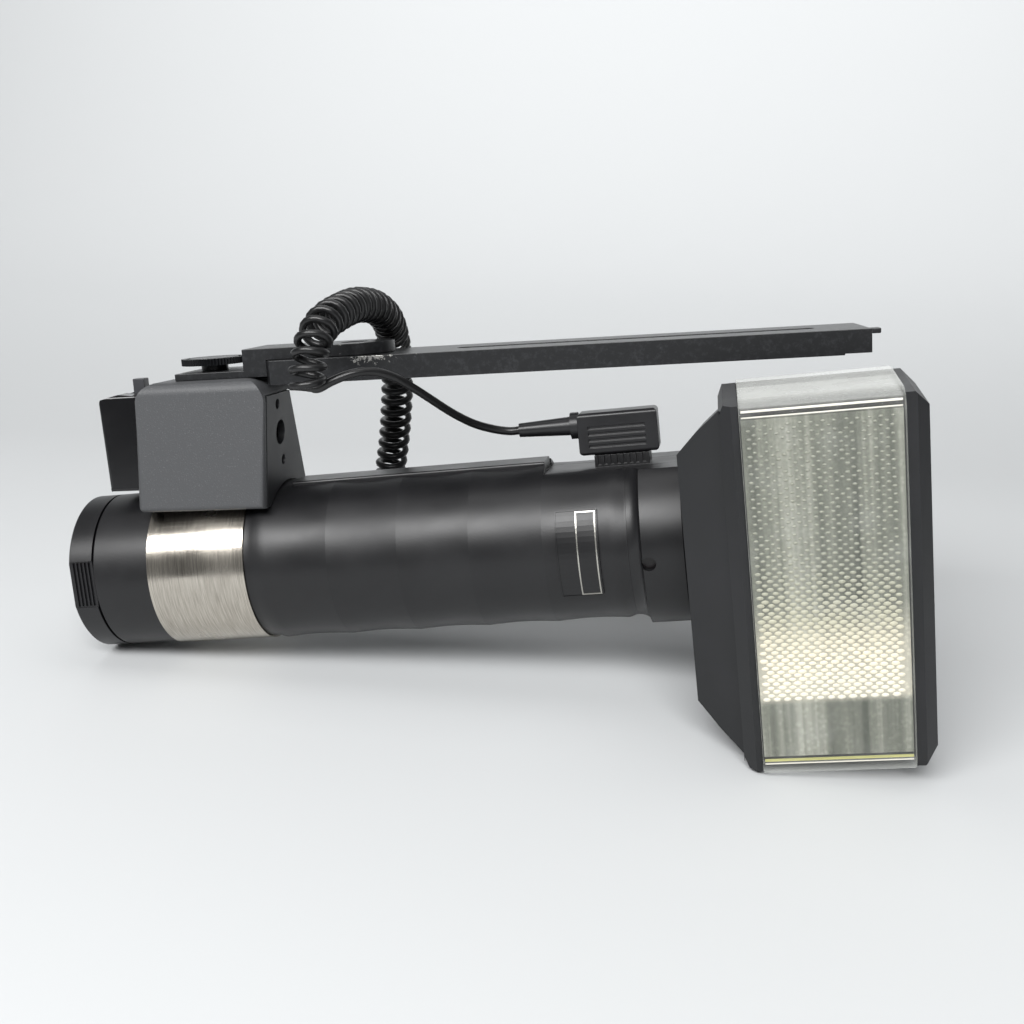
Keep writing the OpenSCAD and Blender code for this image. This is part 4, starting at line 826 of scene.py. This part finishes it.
@dataclass
class Head:
    """The tilting head: shell, clear window, ribbed plate with cast lenses and rear controls."""

    bench: Bench
    low_u: float = 197.2
    high_u: float = 232.6
    low_w: float = -29.0
    high_w: float = 44.0
    plate_v: float = 52.4
    pitch_u: float = 2.62
    pitch_w: float = 1.06
    dot_mm: float = 0.86
    bright_w: float = -8.0
    fade_mm: float = 45.0
    largest: float = 1.12
    least: float = 0.62
    bare_above: float = 8.0
    bare_share: float = 0.08
    jitter_mm: float = 0.12
    lens_shape: Point = (1.15, 0.34, 0.66)
    line_u: tuple[float, float] = (196.6, 233.2)
    line_v: tuple[float, float] = (-52.75, -52.4)
    marks: int = 24
    mark_r: float = 6.9

    def build(self) -> None:
        """Dresses the head's nodes and adds the lenses and edge lines."""
        b = self.bench
        b.softened("head_shell", SHELL, "head", 1.2, angle=20)
        b.softened("clear_window", WINDOW, "head", 0.35)
        b.softened("prism_panel", STREAKS, "head")
        b.softened("reflector", MIRROR, "head")
        b.softened("flash_tube", WINDOW, "head")
        b.softened("rear_panel", COLLAR, "head", 0.2)
        b.softened("calculator_dial", GREY_KEY, "dial", 0.15)
        b.softened("main_switch", GREY_KEY, "switch", 0.3)
        b.softened("test_button", GREY_KEY, "test", 0.3)
        b.softened("ready_lamp", LAMP, "head", 0.2)
        b.softened("swivel_neck", DARK_CAST, "swivel")
        for node, finish in (("head_screws", SCREW), ("tube_holders", SPRING), ("head_board", BOARD),
                             ("swivel_ring", DARK_CAST), ("tilt_pin", CHROME)):
            b.repaint(node, finish)
        self.lenses()
        self.edge_lines()
        self.dial_marks()

    def lenses(self) -> None:
        """Adds the field of small lenses: one is modelled and copied in staggered rows."""
        random.seed(45)
        bpy.ops.object.select_all(action="DESELECT")
        bpy.ops.mesh.primitive_uv_sphere_add(segments=8, ring_count=4, radius=self.dot_mm)
        seed = bpy.context.object
        bpy.ops.object.mode_set(mode="EDIT")
        bpy.ops.mesh.bisect(plane_co=(0, 0.001, 0), plane_no=(0, 1, 0), clear_outer=True, use_fill=True)
        bpy.ops.object.mode_set(mode="OBJECT")
        copies = []
        rows = int((self.high_w - self.low_w) / self.pitch_w)
        for row in range(rows):
            w = self.low_w + 0.7 + row * self.pitch_w
            start = self.low_u + 0.9 + (row % 2) * self.pitch_u / 2
            for column in range(int((self.high_u - 0.8 - start) / self.pitch_u) + 1):
                fade = min(self.largest, max(self.least, self.largest - (w - self.bright_w) / self.fade_mm))
                size = fade * random.uniform(0.88, 1.08)
                if w > self.bare_above and random.random() < self.bare_share:
                    continue
                copy = bpy.data.objects.new("lens", seed.data.copy())
                jitter = random.uniform(-self.jitter_mm, self.jitter_mm)
                wide, deep, tall = self.lens_shape
                shape = Matrix.Diagonal((size * wide, deep, size * tall, 1))
                spot = (start + column * self.pitch_u + jitter, -self.plate_v + 0.02, w + jitter / 2)
                copy.data.transform(Matrix.Translation(spot) @ shape)
                bpy.context.scene.collection.objects.link(copy)
                copies.append(copy)
        bpy.data.objects.remove(seed)
        piece = self.bench.joined(copies, "cast_lenses")
        bpy.ops.object.shade_smooth()
        self.bench.place(piece, LIE.handle())
        self.bench.finish(piece, DOTS, "head")

    def edge_lines(self) -> None:
        """Adds the white lines of painted highlight where the window's edges are bent, and the yellowish aged
        line at its foot.
        """
        # The white rows are painted highlights; the yellow row is the aged edge
        rows = ((Side.UPPER, 46.1, 0.55, PAINTED_EDGE_HIGHLIGHT), (Side.UPPER, 44.75, 0.35, PAINTED_EDGE_HIGHLIGHT),
                (Side.LOWER, 44.9, 0.7, EDGE_YELLOW), (Side.LOWER, 46.1, 0.3, PAINTED_EDGE_HIGHLIGHT))
        left, right = self.line_u
        front, back = self.line_v
        for number, (side, w, tall, finish) in enumerate(rows):
            low, high = sorted((side.value * w, side.value * (w + tall)))
            piece = self.bench.bar(f"edge_line_{number}", (left, front, low), (right, back, high))
            self.bench.place(piece, LIE.handle())
            self.bench.bevel(piece, 0.1)
            self.bench.finish(piece, finish, "head")

    def dial_marks(self) -> None:
        """Adds a ring of plain tick marks on the calculator dial."""
        low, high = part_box("calculator_dial")
        middle = (low + high) / 2
        marks = []
        face = Matrix.Translation((middle.x, high.y + 0.04 * MM, middle.z))
        for i in range(self.marks):
            long = 1.6 if i % 4 == 0 else 0.9
            piece = self.bench.bar("mark", (-0.14, -0.05, self.mark_r - long), (0.14, 0.05, self.mark_r))
            spot = face @ Matrix.Rotation(i * 2 * math.pi / self.marks, 4, "Y")
            self.bench.place(piece, spot @ Matrix.Scale(MM, 4))
            marks.append(piece)
        piece = self.bench.joined(marks, "dial_marks")
        self.bench.finish(piece, MARKS, "dial")


@dataclass
class Cord:
    """The sync cord: plug lead, curls and tail on one line, with its two plugs."""

    bench: Bench
    curls: int = 66
    wire_mm: float = 2.1
    lead_mm: float = 2.4
    outer_mm: float = 5.1
    steps: int = 16
    lead: tuple[Point, ...] = (
        (8.697, 6.486, 72.741), (5.724, 6.486, 72.342), (1.2, 4.9, 73.2), (-3.5, 2, 75.2), (-7.5, -1.8, 78.2),
        (-11, -5.8, 81.6), (-14.5, -10, 85.4), (-18, -14, 89), (-22, -18, 92.5), (-27, -21.5, 94.6),
        (-32, -24.5, 94.4), (-37, -26.5, 92.5), (-40, -27, 90.8))
    coil: tuple[Point, ...] = (
        (-42, -31, 91), (-42, -30.5, 95.5), (-41.5, -29, 100), (-41, -26, 104), (-40, -20.5, 107),
        (-39, -14.5, 108), (-38, -8, 108.5), (-37, -1, 108.5), (-36, 6, 107.5), (-35, 14, 105.5),
        (-34, 22, 101.5), (-34, 29, 96), (-34, 34, 88), (-34.5, 37, 79), (-35.5, 39, 69), (-37, 41, 58),
        (-39, 43, 47), (-40.5, 45, 36), (-39.5, 47, 26), (-35.5, 49.5, 17), (-28, 52, 11), (-18, 54, 7.5),
        (-7, 56, 6), (8, 58, 6), (24, 58, 6), (40, 58, 6), (56, 58, 6))
    tail: tuple[Point, ...] = (
        (57.5, 62, 2), (60, 67, 2), (66, 72, 2), (74, 74, 2), (84, 74, 2), (92, 74, 2.4), (99, 74, 3.2),
        (106, 74, 3.4))

    @staticmethod
    def curve(points: list[Vector], steps: int) -> list[Vector]:
        """Returns a smooth line through points, as the part's source draws it.

        Args:
            points: the route.
            steps: points on the line for each point of the route.

        Returns:
            The line.
        """
        out = []
        last = len(points) - 1
        for k in range(last * steps + 1):
            i = min(k // steps, last - 1)
            f = k / steps - i
            a, b, c, d = points[max(i - 1, 0)], points[i], points[i + 1], points[min(i + 2, last)]
            square = (2 * a - 5 * b + 4 * c - d) * f * f
            cube = (3 * b - a - 3 * c + d) * f * f * f
            out.append(0.5 * (2 * b + (c - a) * f + square + cube))
        return out

    def curled(self) -> list[Vector]:
        """Returns the line of the curls, wound round the coil's route."""
        axis = self.curve([Vector(p) for p in self.coil], 6)
        sums = [0.0]
        for a, b in zip(axis, axis[1:]):
            sums.append(sums[-1] + (b - a).length)
        ahead = axis[1:] + axis[-1:]
        behind = axis[:1] + axis[:-1]
        ways = [(b - a).normalized() for a, b in zip(behind, ahead)]
        sides = []
        side = ways[0].cross(Vector((0, 0, 1)) if abs(ways[0].z) < 0.9 else Vector((1, 0, 0)))
        for way in ways:
            side = (side - way * side.dot(way)).normalized()
            sides.append(side)
        line = []
        count = self.curls * self.steps + self.steps // 8
        at = 0
        for k in range(count + 1):
            s = min(sums[-1] * k / count, sums[-1] - 1e-4)
            while at < len(sums) - 2 and sums[at + 1] <= s:
                at += 1
            part = (s - sums[at]) / (sums[at + 1] - sums[at])
            middle = axis[at].lerp(axis[at + 1], part)
            way = ways[at]
            one = (sides[at] - way * sides[at].dot(way)).normalized()
            turn = 2 * math.pi * k / self.steps
            away = math.cos(turn) * one + math.sin(turn) * way.cross(one)
            line.append(middle + (self.outer_mm - self.wire_mm / 2) * away)
        return line

    def build(self) -> None:
        """Makes the cord as one open line, and dresses its plugs."""
        b = self.bench
        b.softened("plug_body", PLUG, "handle", 0.3)
        b.softened("plug_relief", PLUG, "handle")
        plug = b.softened("sync_plug", CHROME, "handle")
        curls = self.curled()
        lead = self.curve([Vector(p) for p in self.lead] + [curls[0]], 4)
        tail = self.curve([curls[-1]] + [Vector(p) for p in self.tail], 4)
        line = lead[:-1] + curls + tail[1:]
        data = bpy.data.curves.new("sync_cord", "CURVE")
        data.dimensions = "3D"
        data.bevel_depth = self.wire_mm / 2 * MM
        data.bevel_resolution = 3
        data.use_fill_caps = True
        spline = data.splines.new("POLY")
        spline.points.add(len(line) - 1)
        for i, p in enumerate(line):
            spline.points[i].co = (p.x * MM, p.y * MM, p.z * MM, 1)
            inside = len(lead) - 1 <= i < len(lead) - 1 + len(curls)
            spline.points[i].radius = 1.0 if inside else self.lead_mm / self.wire_mm
        spline.use_smooth = True
        piece = bpy.data.objects.new("sync_cord", data)
        bpy.context.scene.collection.objects.link(piece)
        b.finish(piece, RUBBER, "handle")
        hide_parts("cord_lead", "curly_cord", "cord_tail")


# Studio


@dataclass
class Studio:
    """The camera, plain soft light and plain pale floor."""

    eye: Point = (57.3825, -339.475, 166.778)
    right: Point = (0.98904142, 0.14746029, 0.00724823)
    up: Point = (-0.0543035, 0.31769204, 0.94663768)
    lens: float = 44.08
    near_end: float = -1.0
    run_length: float = 4.0
    turn_at: float = 0.7
    turn_r: float = 0.8
    half_width: float = 4.0
    glow: float = 0.22
    seen_glow: float = 0.95

    def camera(self) -> None:
        """Adds the camera that the photograph was taken with."""
        data = bpy.data.cameras.new("camera")
        data.lens = self.lens
        data.sensor_width = 36.0
        data.clip_start = 0.01
        camera = bpy.data.objects.new("camera", data)
        right, up = Vector(self.right), Vector(self.up)
        back = right.cross(up)
        turn = Matrix((right, up, back)).transposed().to_4x4()
        camera.matrix_world = Matrix.Translation(Vector(self.eye) * MM) @ turn
        bpy.context.scene.collection.objects.link(camera)
        bpy.context.scene.camera = camera

    def lamp(self, name: str, place: Point, size: tuple[float, float], power: float,
             aim: Point = (0.0, 0.0, 0.05)) -> None:
        """Adds one soft box.

        Args:
            name: the lamp's name.
            place: where it stands, in metres.
            size: its width and height.
            power: its strength in watts.
            aim: the place it points at.
        """
        data = bpy.data.lights.new(name, "AREA")
        data.shape = "RECTANGLE"
        data.size, data.size_y = size
        data.energy = power
        lamp = bpy.data.objects.new(name, data)
        lamp.location = place
        lamp.rotation_euler = (Vector(aim) - Vector(place)).to_track_quat("-Z", "Y").to_euler()
        bpy.context.scene.collection.objects.link(lamp)

    def floor(self) -> None:
        """Adds the plain pale floor, which sweeps up behind the flash."""
        bpy.ops.object.select_all(action="DESELECT")
        bpy.ops.mesh.primitive_grid_add(x_subdivisions=1, y_subdivisions=96, size=2)
        floor = bpy.context.object
        floor.name = "floor"
        for vertex in floor.data.vertices:
            run = self.near_end + (vertex.co.y + 1) / 2 * self.run_length
            bend = min(max((run - self.turn_at) / self.turn_r, 0.0), math.pi / 2)
            above = max(run - self.turn_at - self.turn_r * math.pi / 2, 0.0)
            vertex.co.x *= self.half_width
            vertex.co.y = min(run, self.turn_at) + self.turn_r * math.sin(bend)
            vertex.co.z = self.turn_r * (1 - math.cos(bend)) + above
        bpy.ops.object.shade_smooth()
        floor.data.materials.append(Finish("paper_pale_matt", "c9cbcc", 0.7).material())

    def build(self) -> None:
        """Adds the floor, the lamps and the pale surroundings."""
        self.floor()
        self.lamp("front_high", (-0.16, -0.72, 0.78), (1.2, 0.34), 17.0)
        self.lamp("overhead", (0.0, 0.1, 1.1), (1.2, 0.6), 3.5)
        self.lamp("rear_wall", (0.0, 0.45, 1.0), (2.2, 0.4), 20.0, aim=(0.0, 1.6, 0.75))
        world = bpy.data.worlds.new("surroundings")
        world.use_nodes = True
        shade = world.node_tree.nodes["Background"]
        shade.inputs["Color"].default_value = linear("e6e7e8")
        seen = add(world.node_tree, "ShaderNodeLightPath").outputs["Is Camera Ray"]
        strength = add(world.node_tree, "ShaderNodeMapRange", n0=seen, n3=self.glow, n4=self.seen_glow)
        world.node_tree.links.new(strength.outputs[0], shade.inputs["Strength"])
        bpy.context.scene.world = world
        bpy.context.scene.view_settings.view_transform = "Standard"


def main() -> None:
    """Builds the whole scene in order."""
    logging.basicConfig(level=logging.INFO, format="%(message)s")
    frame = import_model()
    bench = Bench(frame)
    studio = Studio()
    studio.camera()
    Cord(bench).build()
    Grip(bench).build()
    Bracket(bench).build()
    Head(bench).build()
    studio.build()


if __name__ == "__main__":
    main()
